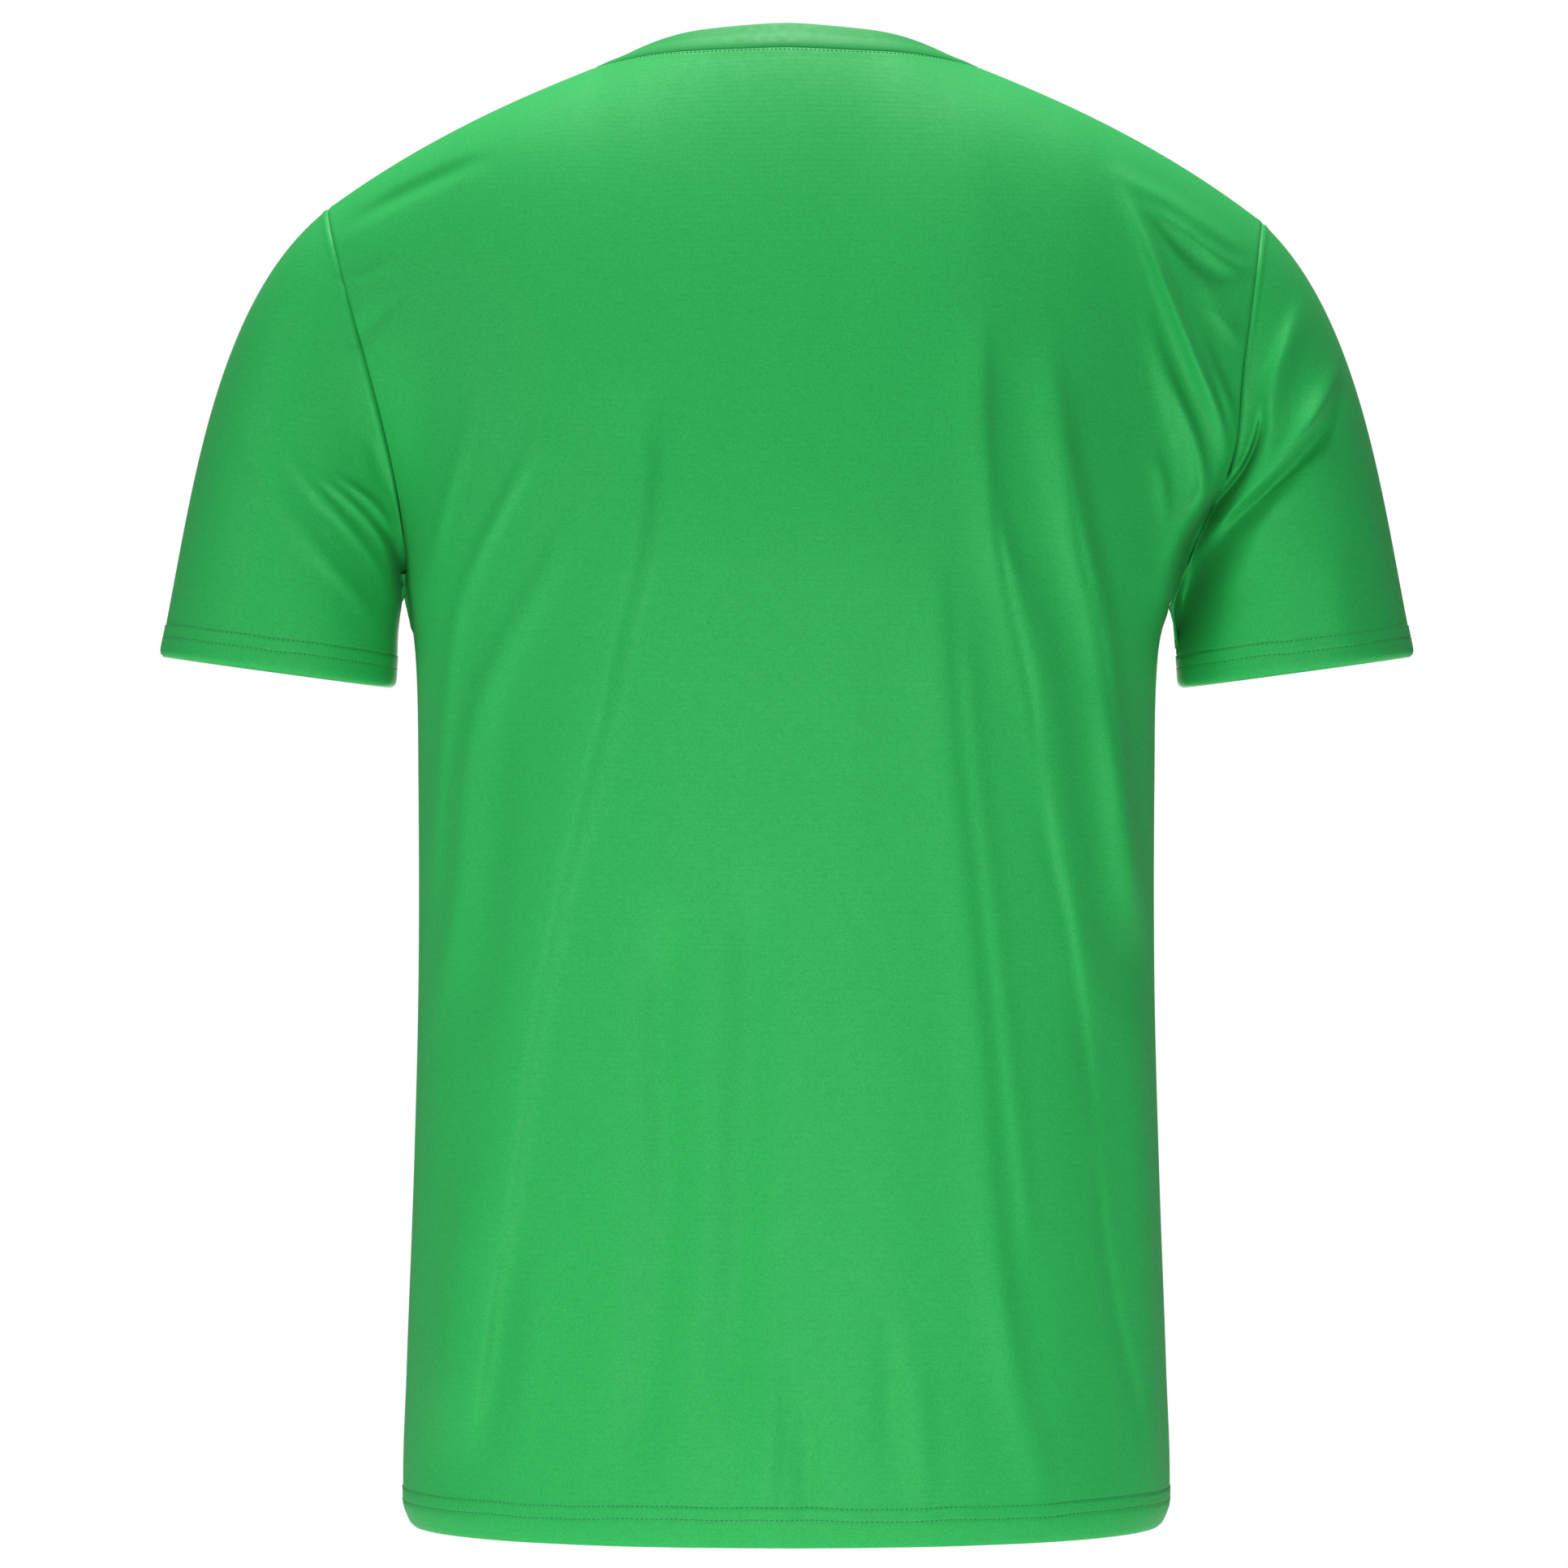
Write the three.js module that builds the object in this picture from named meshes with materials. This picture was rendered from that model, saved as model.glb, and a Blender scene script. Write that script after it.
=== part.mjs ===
// Performance t-shirt: crew neck and set-in short sleeves, filled out as when it is worn, with no wearer.
// Millimetres, +Z up. The origin is midway between the two high shoulder points, where the shoulder seams
// meet the neckband. The front faces -Y, the back +Y, and the wearer's left is +X.
// Each piece is cut from one curved form, so neighbours share their seam points, and is then a thin wall.
import * as THREE from "three";

// ---- cloth ----
const CLOTH_WALL = 1.2; // single layer of knit, with its seams pressed flat
const HEM_WALL = 2.2; // where the hem is turned up and doubled
const BAND_WALL = 2.2; // the neckband is a folded strip
const SEAM_GAP = 0.3; // left between two pieces along a seam
const BODY_HEM_DEPTH = 20.5; // hem edge to the upper row of stitches
const CUFF_HEM_DEPTH = 16.5;
const HEM_STEP = 1; // above and below the stitches, where the wall goes from double to single
const BODY_EDGE_ROLL = 6; // the hem's edge is rounded over this height
const CUFF_EDGE_ROLL = 5;

// ---- net of points on each piece ----
const NECK_COLUMNS = 8; // on half a panel, from the centre to the high shoulder point
const SHOULDER_COLUMNS = 9; // and from there to the armhole
const SIDE_ROWS = 16; // from the hem stitches to the underarm
const ARMHOLE_ROWS = 12; // from the underarm to the shoulder point
const SLEEVE_ROWS = 8; // from the armhole to the cuff stitches
const HALF_COLUMNS = NECK_COLUMNS + SHOULDER_COLUMNS;
const NECK_SHARE = NECK_COLUMNS / HALF_COLUMNS;
const CENTRE_SPACING = 0.56; // columns stand closer at the centre than at the sides
const NECK_CROWDING = 0.6; // and closer again towards the high shoulder point
const NECK_EASING = 2.4; // the rows bend to the neckline mostly near it
const SMALL_STEP = 0.004; // of a half panel, for the direction along a section
const NECK_SEARCH = { from: 0.5, halvings: 30 }; // where along a column the neckline is looked for

// ---- body, from the hem to the underarm ----
const HEM_Z = -717;
// z is the height, left and right are half widths at the side seams, back and front are depths, and
// square is the exponent of the rounded outline: 2 is an ellipse, more is squarer.
const BODY_SECTIONS = [
  { z: -717, left: 184.6, right: 184.2, back: 119.5, front: 121.5, square: 2.2 },
  { z: -705, left: 188.8, right: 188.4, back: 121, front: 123, square: 2.2 },
  { z: -640, left: 187.2, right: 186.8, back: 117.5, front: 121, square: 2.2 },
  { z: -545, left: 183.7, right: 183.4, back: 112.5, front: 118.5, square: 2.25 },
  { z: -450, left: 181.4, right: 181.0, back: 110, front: 118, square: 2.3 },
  { z: -350, left: 181.4, right: 181.0, back: 112.5, front: 122, square: 2.35 },
  { z: -290, left: 182.8, right: 182.6, back: 116, front: 126, square: 2.35 },
  { z: -250, left: 188.6, right: 189.6, back: 118.5, front: 127, square: 2.3 },
];

// ---- shoulders and neckline ----
// The form goes on over the neck as one smooth ridge, and the neckline is cut out of it.
const NECK_HALF = 94; // origin to each high shoulder point
const NECK_DEPTH = { back: 52, front: -68 }; // neckline's depth at the centre
const NECK_SQUARE = { back: 2, front: 2.4 }; // its rounding, as for the body sections
const RIDGE_RISE = 38.5; // the uncut form at the centre, over the high shoulder points
const SHOULDER_FALL = { slope: 0.396, bend: 5e-4, roll: 4e-6 }; // drop by distance, its square and cube
// Pulls along a panel's columns: rise as they leave the underarm level, then arch towards the other side
// and climb as they reach the ridge. Over the shoulders they come to it level, so the panels meet smoothly.
const BACK_PULL = { rise: 290, arch: -225, climb: 0, shoulderArch: -280 };
const FRONT_PULL = { rise: 230, arch: 140, climb: 175, shoulderArch: 270 };
const RIDGE_EASING = 1.8; // how late the pulls change from the centre's to the shoulder's

// ---- armholes ----
// underZ is the underarm point's height and tipX how far out the shoulder point is. rise, out and sweep
// pull the seam away from the underarm, and tuck pulls it towards the shoulder point. spread is the share of
// the sleeve's outward pull on this side.
const ARMHOLES = {
  left: { side: 1, underZ: -250, tipX: 225, rise: 120, out: -42, sweep: 150, tuck: -15, spread: 1 },
  right: { side: -1, underZ: -256, tipX: 234.6, rise: 112, out: 72, sweep: 150, tuck: 18, spread: 0.84 },
};
const SWEEP_START = 0.5; // share of the half panel where the armhole begins to bend the columns

// ---- sleeves ----
const CUFF = { x: 251.1, z: -298.2, halfWidth: 58.6, halfDepth: 62, tilt: 7.7 };
const CUFF_NARROWING = 1.2; // the cuff's half width is this much less at its stitches
const CUFF_CURL = 1.6; // the edge turns in by this much
// Pull of the sleeve's lines out of the armhole (out, down) and into the cuff (flare, drop), by place.
const SLEEVE_PULLS = {
  top: { out: 166, down: 130, flare: 40, drop: 205 },
  side: { out: 112, down: 96, flare: 10, drop: 140 },
  under: { out: 24, down: 34, flare: 0, drop: 36 },
};

// ---- neckband ----
// lean is towards the neck and rise is up, from the seam to the band's top edge.
const BAND = {
  back: { lean: 13, rise: 13.5 },
  shoulder: { lean: 15, rise: 5.6 },
  front: { lean: 8.5, rise: 14.6 },
};
// up is the share of the band's width, and swell how far it stands off, over the seam allowance inside.
const BAND_SECTIONS = [
  { up: 0, swell: 0 },
  { up: 0.18, swell: 1.5 },
  { up: 0.4, swell: 1.5 },
  { up: 0.62, swell: 0.7 },
  { up: 1, swell: 0 },
];

// ---- folds ----
// A fold runs from one point through a bend to another, seen from the back or front: [x, z]. height is
// how far it stands out, below zero for a hollow, and width is from its crest to where it dies away.
const BACK_FOLDS = [
  { name: "left blade to side", from: [62, -168], bend: [84, -330], to: [122, -560], height: 5, width: 19 },
  { name: "left outer drape", from: [112, -165], bend: [146, -290], to: [158, -470], height: 4, width: 15 },
  { name: "left hollow", from: [134, -300], bend: [140, -430], to: [150, -570], height: -4, width: 16 },
  { name: "right blade drape", from: [-97, -150], bend: [-104, -270], to: [-160, -650], height: 6, width: 17 },
  { name: "right outer drape", from: [-126, -150], bend: [-140, -280], to: [-172, -450], height: 6, width: 15 },
  { name: "right hollow", from: [-118, -270], bend: [-134, -360], to: [-150, -460], height: -4, width: 13 },
  { name: "right inner drape", from: [-82, -190], bend: [-84, -360], to: [-104, -600], height: 3.5, width: 15 },
  { name: "right armhole ridge", from: [-152, -62], bend: [-180, -110], to: [-205, -206], height: 9, width: 13 },
  { name: "right armhole tuck", from: [-166, -120], bend: [-182, -165], to: [-193, -225], height: 5, width: 11 },
  { name: "right shoulder hollow", from: [-172, -70], bend: [-192, -84], to: [-216, -108], height: -4, width: 12 },
  { name: "centre low hollow", from: [66, -470], bend: [70, -560], to: [76, -690], height: -3, width: 20 },
  { name: "centre low drape", from: [24, -520], bend: [22, -600], to: [34, -717], height: 2.5, width: 20 },
];
const FRONT_FOLDS = [
  { name: "left chest drape", from: [98, -190], bend: [108, -330], to: [142, -600], height: 5, width: 18 },
  { name: "left side drape", from: [142, -230], bend: [158, -340], to: [165, -520], height: 4, width: 14 },
  { name: "left armhole tuck", from: [150, -110], bend: [176, -160], to: [190, -226], height: 5, width: 13 },
  { name: "right chest drape", from: [-88, -180], bend: [-102, -330], to: [-128, -560], height: 5, width: 18 },
  { name: "right side drape", from: [-140, -220], bend: [-156, -330], to: [-166, -500], height: 4, width: 14 },
  { name: "right armhole tuck", from: [-158, -100], bend: [-184, -150], to: [-198, -220], height: 6, width: 13 },
  { name: "belly drape", from: [34, -470], bend: [38, -580], to: [56, -700], height: 3, width: 20 },
  { name: "low right drape", from: [-52, -500], bend: [-58, -600], to: [-72, -710], height: 3, width: 18 },
];
const SLEEVE_FOLDS = [
  { name: "left long fold", from: [267, -160], bend: [252, -230], to: [206, -276], height: 4.5, width: 11 },
  { name: "left short fold", from: [238, -200], bend: [222, -216], to: [196, -250], height: 4, width: 9 },
  { name: "right long fold", from: [-268, -150], bend: [-250, -196], to: [-204, -246], height: 6, width: 11 },
  { name: "right short fold", from: [-250, -118], bend: [-240, -160], to: [-226, -196], height: 4.5, width: 9 },
];
const FOLD_STEPS = 16; // straight pieces that stand for each fold's line
const FOLD_END = 0.25; // share of its length over which a fold fades at each end
const FOLD_REST = 0.15; // share of its height that is left there
const SIDE_FADE = 34; // folds die away over this depth before a side seam

// ---- small helpers ----
const mix = (a, b, share) => a + (b - a) * share;
const clamp01 = (value) => Math.min(Math.max(value, 0), 1);
const smooth = (value) => clamp01(value) ** 2 * (3 - 2 * clamp01(value));
const vector = (x, y, z) => new THREE.Vector3(x, y, z);

// A smooth step from one value to another, leaving and arriving with the given pulls.
function pulled(start, startPull, end, endPull, share) {
  const square = share * share;
  const cube = square * share;
  return (
    start * (2 * cube - 3 * square + 1) +
    startPull * (cube - 2 * square + share) +
    end * (3 * square - 2 * cube) +
    endPull * (cube - square)
  );
}

function pulledPoint(start, startPull, end, endPull, share) {
  return vector(
    pulled(start.x, startPull.x, end.x, endPull.x, share),
    pulled(start.y, startPull.y, end.y, endPull.y, share),
    pulled(start.z, startPull.z, end.z, endPull.z, share),
  );
}

// One column of the body table at a height, on a smooth curve through the rows.
function bodySize(column, z) {
  const last = BODY_SECTIONS.length - 1;
  let low = 0;
  while (low < last - 1 && z > BODY_SECTIONS[low + 1].z) low += 1;
  const slope = (row) => {
    const before = BODY_SECTIONS[Math.max(row - 1, 0)];
    const after = BODY_SECTIONS[Math.min(row + 1, last)];
    return (after[column] - before[column]) / (after.z - before.z);
  };
  const start = BODY_SECTIONS[low];
  const end = BODY_SECTIONS[low + 1];
  const span = end.z - start.z;
  return pulled(start[column], slope(low) * span, end[column], slope(low + 1) * span, (z - start.z) / span);
}

// ---- folds as depth towards the back or the front ----
function foldLine(fold) {
  const curve = new THREE.QuadraticBezierCurve(
    new THREE.Vector2(...fold.from),
    new THREE.Vector2(...fold.bend),
    new THREE.Vector2(...fold.to),
  );
  return { ...fold, points: curve.getPoints(FOLD_STEPS) };
}

const FOLD_LINES = {
  back: [...BACK_FOLDS, ...SLEEVE_FOLDS].map(foldLine),
  front: [...FRONT_FOLDS, ...SLEEVE_FOLDS].map(foldLine),
};

// How far the folds lift the cloth at one place, each fading out at its two ends.
function foldDepth(lines, x, z) {
  let depth = 0;
  for (const line of lines) {
    let nearest = Infinity;
    let along = 0;
    line.points.forEach((point, step) => {
      const distance = Math.hypot(point.x - x, point.y - z);
      if (distance < nearest) {
        nearest = distance;
        along = step / FOLD_STEPS;
      }
    });
    const ends = smooth(along / FOLD_END) * smooth((1 - along) / FOLD_END);
    depth += line.height * mix(FOLD_REST, 1, ends) * Math.exp(-((nearest / line.width) ** 2));
  }
  return depth;
}

// Moves a point of the plain form by its folds. Both neighbours of a seam get the same move.
function folded(point) {
  const facing = Math.sign(point.y);
  const lines = facing > 0 ? FOLD_LINES.back : FOLD_LINES.front;
  const share = smooth(Math.abs(point.y) / SIDE_FADE);
  point.y += facing * share * foldDepth(lines, point.x, point.z);
  return point;
}

// ---- body form ----
// across runs from -1 at the wearer's right seam to 1 at the left one, and facing is 1 on the back.
function roundBody(facing, across, z) {
  const share = Math.abs(across);
  const turn = (share * mix(CENTRE_SPACING, 1, share) * Math.PI) / 2;
  const square = bodySize("square", z);
  const reach = (Math.sin(turn) ** square + Math.abs(Math.cos(turn)) ** square) ** (-1 / square);
  const half = across > 0 ? bodySize("left", z) : -bodySize("right", z);
  const depth = facing > 0 ? bodySize("back", z) : -bodySize("front", z);
  return vector(half * reach * Math.sin(turn), depth * reach * Math.cos(turn), z);
}

const underarmZ = (across) => mix(ARMHOLES.right.underZ, ARMHOLES.left.underZ, (across + 1) / 2);

// The ridge where back and front meet: shoulder seam outside the neck, uncut form over it.
function ridgePoint(across) {
  const share = Math.abs(across);
  const sign = across < 0 ? -1 : 1;
  if (share <= NECK_SHARE) {
    const out = share / NECK_SHARE;
    const roll = (SHOULDER_FALL.slope * NECK_HALF) / 2 - RIDGE_RISE;
    return vector(sign * NECK_HALF * out, 0, RIDGE_RISE - (RIDGE_RISE - roll) * out ** 2 - roll * out ** 4);
  }
  const armhole = sign > 0 ? ARMHOLES.left : ARMHOLES.right;
  const out = ((share - NECK_SHARE) / (1 - NECK_SHARE)) * (armhole.tipX - NECK_HALF);
  const fall = SHOULDER_FALL.slope * out + SHOULDER_FALL.bend * out ** 2 + SHOULDER_FALL.roll * out ** 3;
  return vector(sign * (NECK_HALF + out), 0, -fall);
}

// Pull of a column as it leaves the underarm level. It goes on up the form, and by the armhole also round
// towards the centre, in the cloth's own surface.
function underarmPull(facing, across) {
  const share = Math.abs(across);
  const sign = across < 0 ? -1 : 1;
  const armhole = sign > 0 ? ARMHOLES.left : ARMHOLES.right;
  const pull = facing > 0 ? BACK_PULL : FRONT_PULL;
  const bend = smooth((share - SWEEP_START) / (1 - SWEEP_START)) ** 2;
  const z = underarmZ(across);
  const here = roundBody(facing, across, z);
  const below = roundBody(facing, across, z - 1);
  const inward = roundBody(facing, across - sign * SMALL_STEP, z).sub(here).normalize();
  return here
    .sub(below)
    .multiplyScalar(mix(pull.rise, armhole.rise, bend))
    .addScaledVector(inward, armhole.sweep * bend)
    .add(vector(armhole.side * armhole.out * bend, 0, 0));
}

// Pull of a column as it comes over the ridge.
function ridgePull(facing, across) {
  const share = Math.abs(across);
  const armhole = across > 0 ? ARMHOLES.left : ARMHOLES.right;
  const pull = facing > 0 ? BACK_PULL : FRONT_PULL;
  const outer = smooth((share - NECK_SHARE) / (1 - NECK_SHARE));
  const shoulder = smooth(share / NECK_SHARE) ** RIDGE_EASING;
  return vector(
    armhole.side * armhole.tuck * outer,
    mix(pull.arch, pull.shoulderArch, shoulder),
    mix(pull.climb, 0, shoulder),
  );
}

// A point of the uncut form over the underarm, where over runs from 0 at that level to 1 at the ridge.
function upperForm(facing, across, over) {
  const start = roundBody(facing, across, underarmZ(across));
  return pulledPoint(start, underarmPull(facing, across), ridgePoint(across), ridgePull(facing, across), over);
}

// How far up a column of the form the neckline cuts it, found by halving.
function neckStop(facing, across) {
  if (Math.abs(across) >= NECK_SHARE) return 1;
  const depth = facing > 0 ? NECK_DEPTH.back : -NECK_DEPTH.front;
  const square = facing > 0 ? NECK_SQUARE.back : NECK_SQUARE.front;
  let low = NECK_SEARCH.from;
  let high = 1;
  for (let halving = 0; halving < NECK_SEARCH.halvings; halving += 1) {
    const middle = (low + high) / 2;
    const point = upperForm(facing, across, middle);
    const out = Math.min(Math.abs(point.x) / NECK_HALF, 1);
    const edge = depth * (1 - out ** square) ** (1 / square);
    if (facing * point.y > edge) low = middle;
    else high = middle;
  }
  return high;
}

// A point of a panel. up runs from 0 at the hem through 1 at the underarm to 2 at the top edge.
function panelPoint(facing, across, up) {
  if (up <= 1) {
    return folded(roundBody(facing, across, mix(HEM_Z, underarmZ(across), up)));
  }
  const over = up - 1;
  return folded(upperForm(facing, across, over - (1 - neckStop(facing, across)) * over ** NECK_EASING));
}

// ---- nets: rows of points over each piece ----
// Heights of a panel's rows, with the curled hem edge and the step under the stitches first.
function panelRows() {
  const length = underarmZ(0) - HEM_Z;
  const rows = [0, BODY_EDGE_ROLL / length, (BODY_HEM_DEPTH - HEM_STEP) / length];
  const stitches = (BODY_HEM_DEPTH + HEM_STEP) / length;
  for (let row = 0; row < SIDE_ROWS; row += 1) rows.push(mix(stitches, 1, row / SIDE_ROWS));
  for (let row = 0; row <= ARMHOLE_ROWS; row += 1) rows.push(1 + row / ARMHOLE_ROWS);
  return rows;
}

const PANEL_ROWS = panelRows();
const UNDERARM_ROW = PANEL_ROWS.length - 1 - ARMHOLE_ROWS;

// Where a column stands across a panel, from -1 to 1.
function columnPlace(column) {
  const steps = Math.abs(column);
  if (steps >= NECK_COLUMNS) return column / HALF_COLUMNS;
  const even = steps / NECK_COLUMNS;
  return Math.sign(column) * NECK_SHARE * mix(even, Math.sin((even * Math.PI) / 2), NECK_CROWDING);
}

function panelNet(facing) {
  return PANEL_ROWS.map((up) => {
    const row = [];
    for (let column = -HALF_COLUMNS; column <= HALF_COLUMNS; column += 1) {
      row.push(panelPoint(facing, columnPlace(column), up));
    }
    return row;
  });
}

// The armhole as a loop from the shoulder point down the back, under the arm and up the front.
function armholeLoop(backNet, frontNet, side) {
  const column = side > 0 ? 2 * HALF_COLUMNS : 0;
  const loop = [];
  for (let row = ARMHOLE_ROWS; row > 0; row -= 1) loop.push(backNet[UNDERARM_ROW + row][column]);
  for (let row = 0; row < ARMHOLE_ROWS; row += 1) loop.push(frontNet[UNDERARM_ROW + row][column]);
  return loop;
}

// One value of the sleeve's pulls at a turn: 0 on top, half a turn under the arm.
function sleevePull(name, turn) {
  const { top, side, under } = SLEEVE_PULLS;
  const even = (top[name] + under[name]) / 2;
  const tilt = (top[name] - under[name]) / 2;
  const waist = (side[name] - even) * Math.sin(turn) ** 2;
  return even + tilt * Math.cos(turn) + waist;
}

function cuffPoint(side, turn, above, curl) {
  const tilt = THREE.MathUtils.degToRad(CUFF.tilt);
  const half = CUFF.halfWidth - (CUFF_NARROWING * above) / CUFF_HEM_DEPTH - curl;
  const out = half * Math.cos(turn);
  const x = CUFF.x + out * Math.cos(tilt) - above * Math.sin(tilt);
  const z = CUFF.z + out * Math.sin(tilt) + above * Math.cos(tilt);
  return vector(side * x, (CUFF.halfDepth - curl) * Math.sin(turn), z);
}

function sleeveNet(loop, armhole) {
  const side = armhole.side;
  const turnOf = (column) => (2 * Math.PI * column) / loop.length;
  const net = [loop];
  for (let row = 1; row <= SLEEVE_ROWS; row += 1) {
    net.push(
      loop.map((start, column) => {
        const turn = turnOf(column);
        const out = armhole.spread * sleevePull("out", turn);
        const leave = vector(side * out, 0, -sleevePull("down", turn));
        const arrive = vector(side * sleevePull("flare", turn), 0, -sleevePull("drop", turn));
        const end = cuffPoint(side, turn, CUFF_HEM_DEPTH + HEM_STEP, 0);
        return folded(pulledPoint(start, leave, end, arrive, row / SLEEVE_ROWS));
      }),
    );
  }
  const hems = [
    { above: CUFF_HEM_DEPTH - HEM_STEP, curl: 0 },
    { above: CUFF_EDGE_ROLL, curl: 0 },
    { above: 0, curl: CUFF_CURL },
  ];
  for (const hem of hems) {
    net.push(loop.map((start, column) => folded(cuffPoint(side, turnOf(column), hem.above, hem.curl))));
  }
  return net;
}

// The neckline as a loop from the centre back round the wearer's left to the front and back again.
function neckLoop(backNet, frontNet) {
  const back = backNet[backNet.length - 1];
  const front = frontNet[frontNet.length - 1];
  const loop = [];
  for (let step = 0; step < NECK_COLUMNS; step += 1) loop.push(back[HALF_COLUMNS + step]);
  for (let step = NECK_COLUMNS; step > -NECK_COLUMNS; step -= 1) loop.push(front[HALF_COLUMNS + step]);
  for (let step = -NECK_COLUMNS; step < 0; step += 1) loop.push(back[HALF_COLUMNS + step]);
  return loop;
}

function bandSize(name, turn) {
  const end = Math.cos(turn) > 0 ? BAND.back : BAND.front;
  return mix(BAND.shoulder[name], end[name], Math.abs(Math.cos(turn)));
}

function bandNet(loop) {
  return BAND_SECTIONS.map((section) =>
    loop.map((seam, column) => {
      const turn = (2 * Math.PI * column) / loop.length;
      const lean = bandSize("lean", turn);
      const rise = bandSize("rise", turn);
      const outward = vector(Math.sin(turn), Math.cos(turn), 0);
      const off = vector(0, 0, lean).addScaledVector(outward, rise).normalize();
      return seam
        .clone()
        .addScaledVector(outward, -lean * section.up)
        .add(vector(0, 0, rise * section.up))
        .addScaledVector(off, section.swell);
    }),
  );
}

// ---- from nets to walls ----
// Each net is rows of points; a ring net closes on itself across. flip turns its outer side round.
function makePiece(name, net, ring, flip, wallOf) {
  return { name, net, ring, flip, wallOf, rows: net.length, columns: net[0].length };
}

// The outward direction at each point of a net, from the faces round it.
function netNormals(piece) {
  const normals = piece.net.map((row) => row.map(() => vector(0, 0, 0)));
  const spans = piece.ring ? piece.columns : piece.columns - 1;
  for (let row = 0; row < piece.rows - 1; row += 1) {
    for (let column = 0; column < spans; column += 1) {
      const next = (column + 1) % piece.columns;
      const corners = [
        [row, column],
        [row, next],
        [row + 1, next],
        [row + 1, column],
      ];
      const at = corners.map(([r, c]) => piece.net[r][c]);
      const face = at[2].clone().sub(at[0]).cross(at[3].clone().sub(at[1]));
      if (piece.flip) face.negate();
      for (const [r, c] of corners) normals[r][c].add(face);
    }
  }
  normals.forEach((row) => row.forEach((normal) => normal.normalize()));
  return normals;
}

const SAME_POINT = 0.01; // points nearer than this are one point of a seam
const SEAM_FOLLOW = { from: 0.2, over: 0.6 }; // likeness of two directions at which walls begin to agree

const seamKey = (point) => point.toArray().map((value) => Math.round(value / SAME_POINT)).join(" ");

// Where pieces meet, their walls turn to one shared direction, unless they meet in a sharp inner corner.
function shareSeamNormals(pieces) {
  const atSeam = new Map();
  for (const piece of pieces) {
    piece.normals = netNormals(piece);
    piece.net.forEach((row, r) =>
      row.forEach((point, c) => {
        const key = seamKey(point);
        if (!atSeam.has(key)) atSeam.set(key, []);
        atSeam.get(key).push(piece.normals[r][c].clone());
      }),
    );
  }
  for (const piece of pieces) {
    piece.net.forEach((row, r) =>
      row.forEach((point, c) => {
        const own = piece.normals[r][c].clone();
        const total = vector(0, 0, 0);
        for (const other of atSeam.get(seamKey(point))) {
          total.addScaledVector(other, smooth((own.dot(other) - SEAM_FOLLOW.from) / SEAM_FOLLOW.over));
        }
        piece.normals[r][c] = total.normalize();
      }),
    );
  }
}

// Pulls the edges of a net in by half the seam gap, so that two neighbours stay apart.
function drawnIn(piece) {
  const { net, rows, columns, ring } = piece;
  return net.map((row, r) =>
    row.map((point, c) => {
      const moved = point.clone();
      const towards = (other) => {
        moved.addScaledVector(other.clone().sub(point).normalize(), SEAM_GAP / 2);
      };
      if (!ring && c === 0) towards(net[r][1]);
      if (!ring && c === columns - 1) towards(net[r][columns - 2]);
      if (r === 0) towards(net[1][c]);
      if (r === rows - 1) towards(net[rows - 2][c]);
      return moved;
    }),
  );
}

// A closed wall: the outer net, the same net moved in by the wall, and strips round the open edges.
function wallMesh(piece, material) {
  const { rows, columns, ring, flip } = piece;
  const outer = drawnIn(piece);
  const inner = outer.map((row, r) =>
    row.map((point, c) => point.clone().addScaledVector(piece.normals[r][c], -piece.wallOf(r, c))),
  );
  const points = [...outer.flat(), ...inner.flat()];
  const layer = rows * columns;
  const index = [];
  const quad = (a, b, c, d) => {
    if (flip) index.push(a, c, b, a, d, c);
    else index.push(a, b, c, a, c, d);
  };
  const spans = ring ? columns : columns - 1;
  const id = (r, c) => r * columns + (c % columns);
  for (let r = 0; r < rows - 1; r += 1) {
    for (let c = 0; c < spans; c += 1) {
      quad(id(r, c), id(r, c + 1), id(r + 1, c + 1), id(r + 1, c));
      quad(layer + id(r, c), layer + id(r + 1, c), layer + id(r + 1, c + 1), layer + id(r, c + 1));
    }
  }
  for (let c = 0; c < spans; c += 1) {
    quad(id(0, c + 1), id(0, c), layer + id(0, c), layer + id(0, c + 1));
    quad(id(rows - 1, c), id(rows - 1, c + 1), layer + id(rows - 1, c + 1), layer + id(rows - 1, c));
  }
  if (!ring) {
    for (let r = 0; r < rows - 1; r += 1) {
      quad(id(r, 0), id(r + 1, 0), layer + id(r + 1, 0), layer + id(r, 0));
      const last = columns - 1;
      quad(id(r + 1, last), id(r, last), layer + id(r, last), layer + id(r + 1, last));
    }
  }
  const geometry = new THREE.BufferGeometry();
  geometry.setAttribute("position", new THREE.Float32BufferAttribute(points.flatMap((p) => p.toArray()), 3));
  geometry.setIndex(index);
  geometry.computeVertexNormals();
  const mesh = new THREE.Mesh(geometry, material);
  mesh.name = piece.name;
  return mesh;
}

// ---- the shirt ----
const backNet = panelNet(1);
const frontNet = panelNet(-1);
const leftSleeveNet = sleeveNet(armholeLoop(backNet, frontNet, 1), ARMHOLES.left);
const rightSleeveNet = sleeveNet(armholeLoop(backNet, frontNet, -1), ARMHOLES.right);
const neckbandNet = bandNet(neckLoop(backNet, frontNet));

const panelWall = (row) => (row <= 2 ? HEM_WALL : CLOTH_WALL);
const sleeveWall = (row) => (row > SLEEVE_ROWS ? HEM_WALL : CLOTH_WALL);
const bandWall = () => BAND_WALL;

const pieces = [
  makePiece("back_panel", backNet, false, true, panelWall),
  makePiece("front_panel", frontNet, false, false, panelWall),
  makePiece("left_sleeve", leftSleeveNet, true, true, sleeveWall),
  makePiece("right_sleeve", rightSleeveNet, true, false, sleeveWall),
  makePiece("neckband", neckbandNet, true, true, bandWall),
];
shareSeamNormals(pieces);

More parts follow.
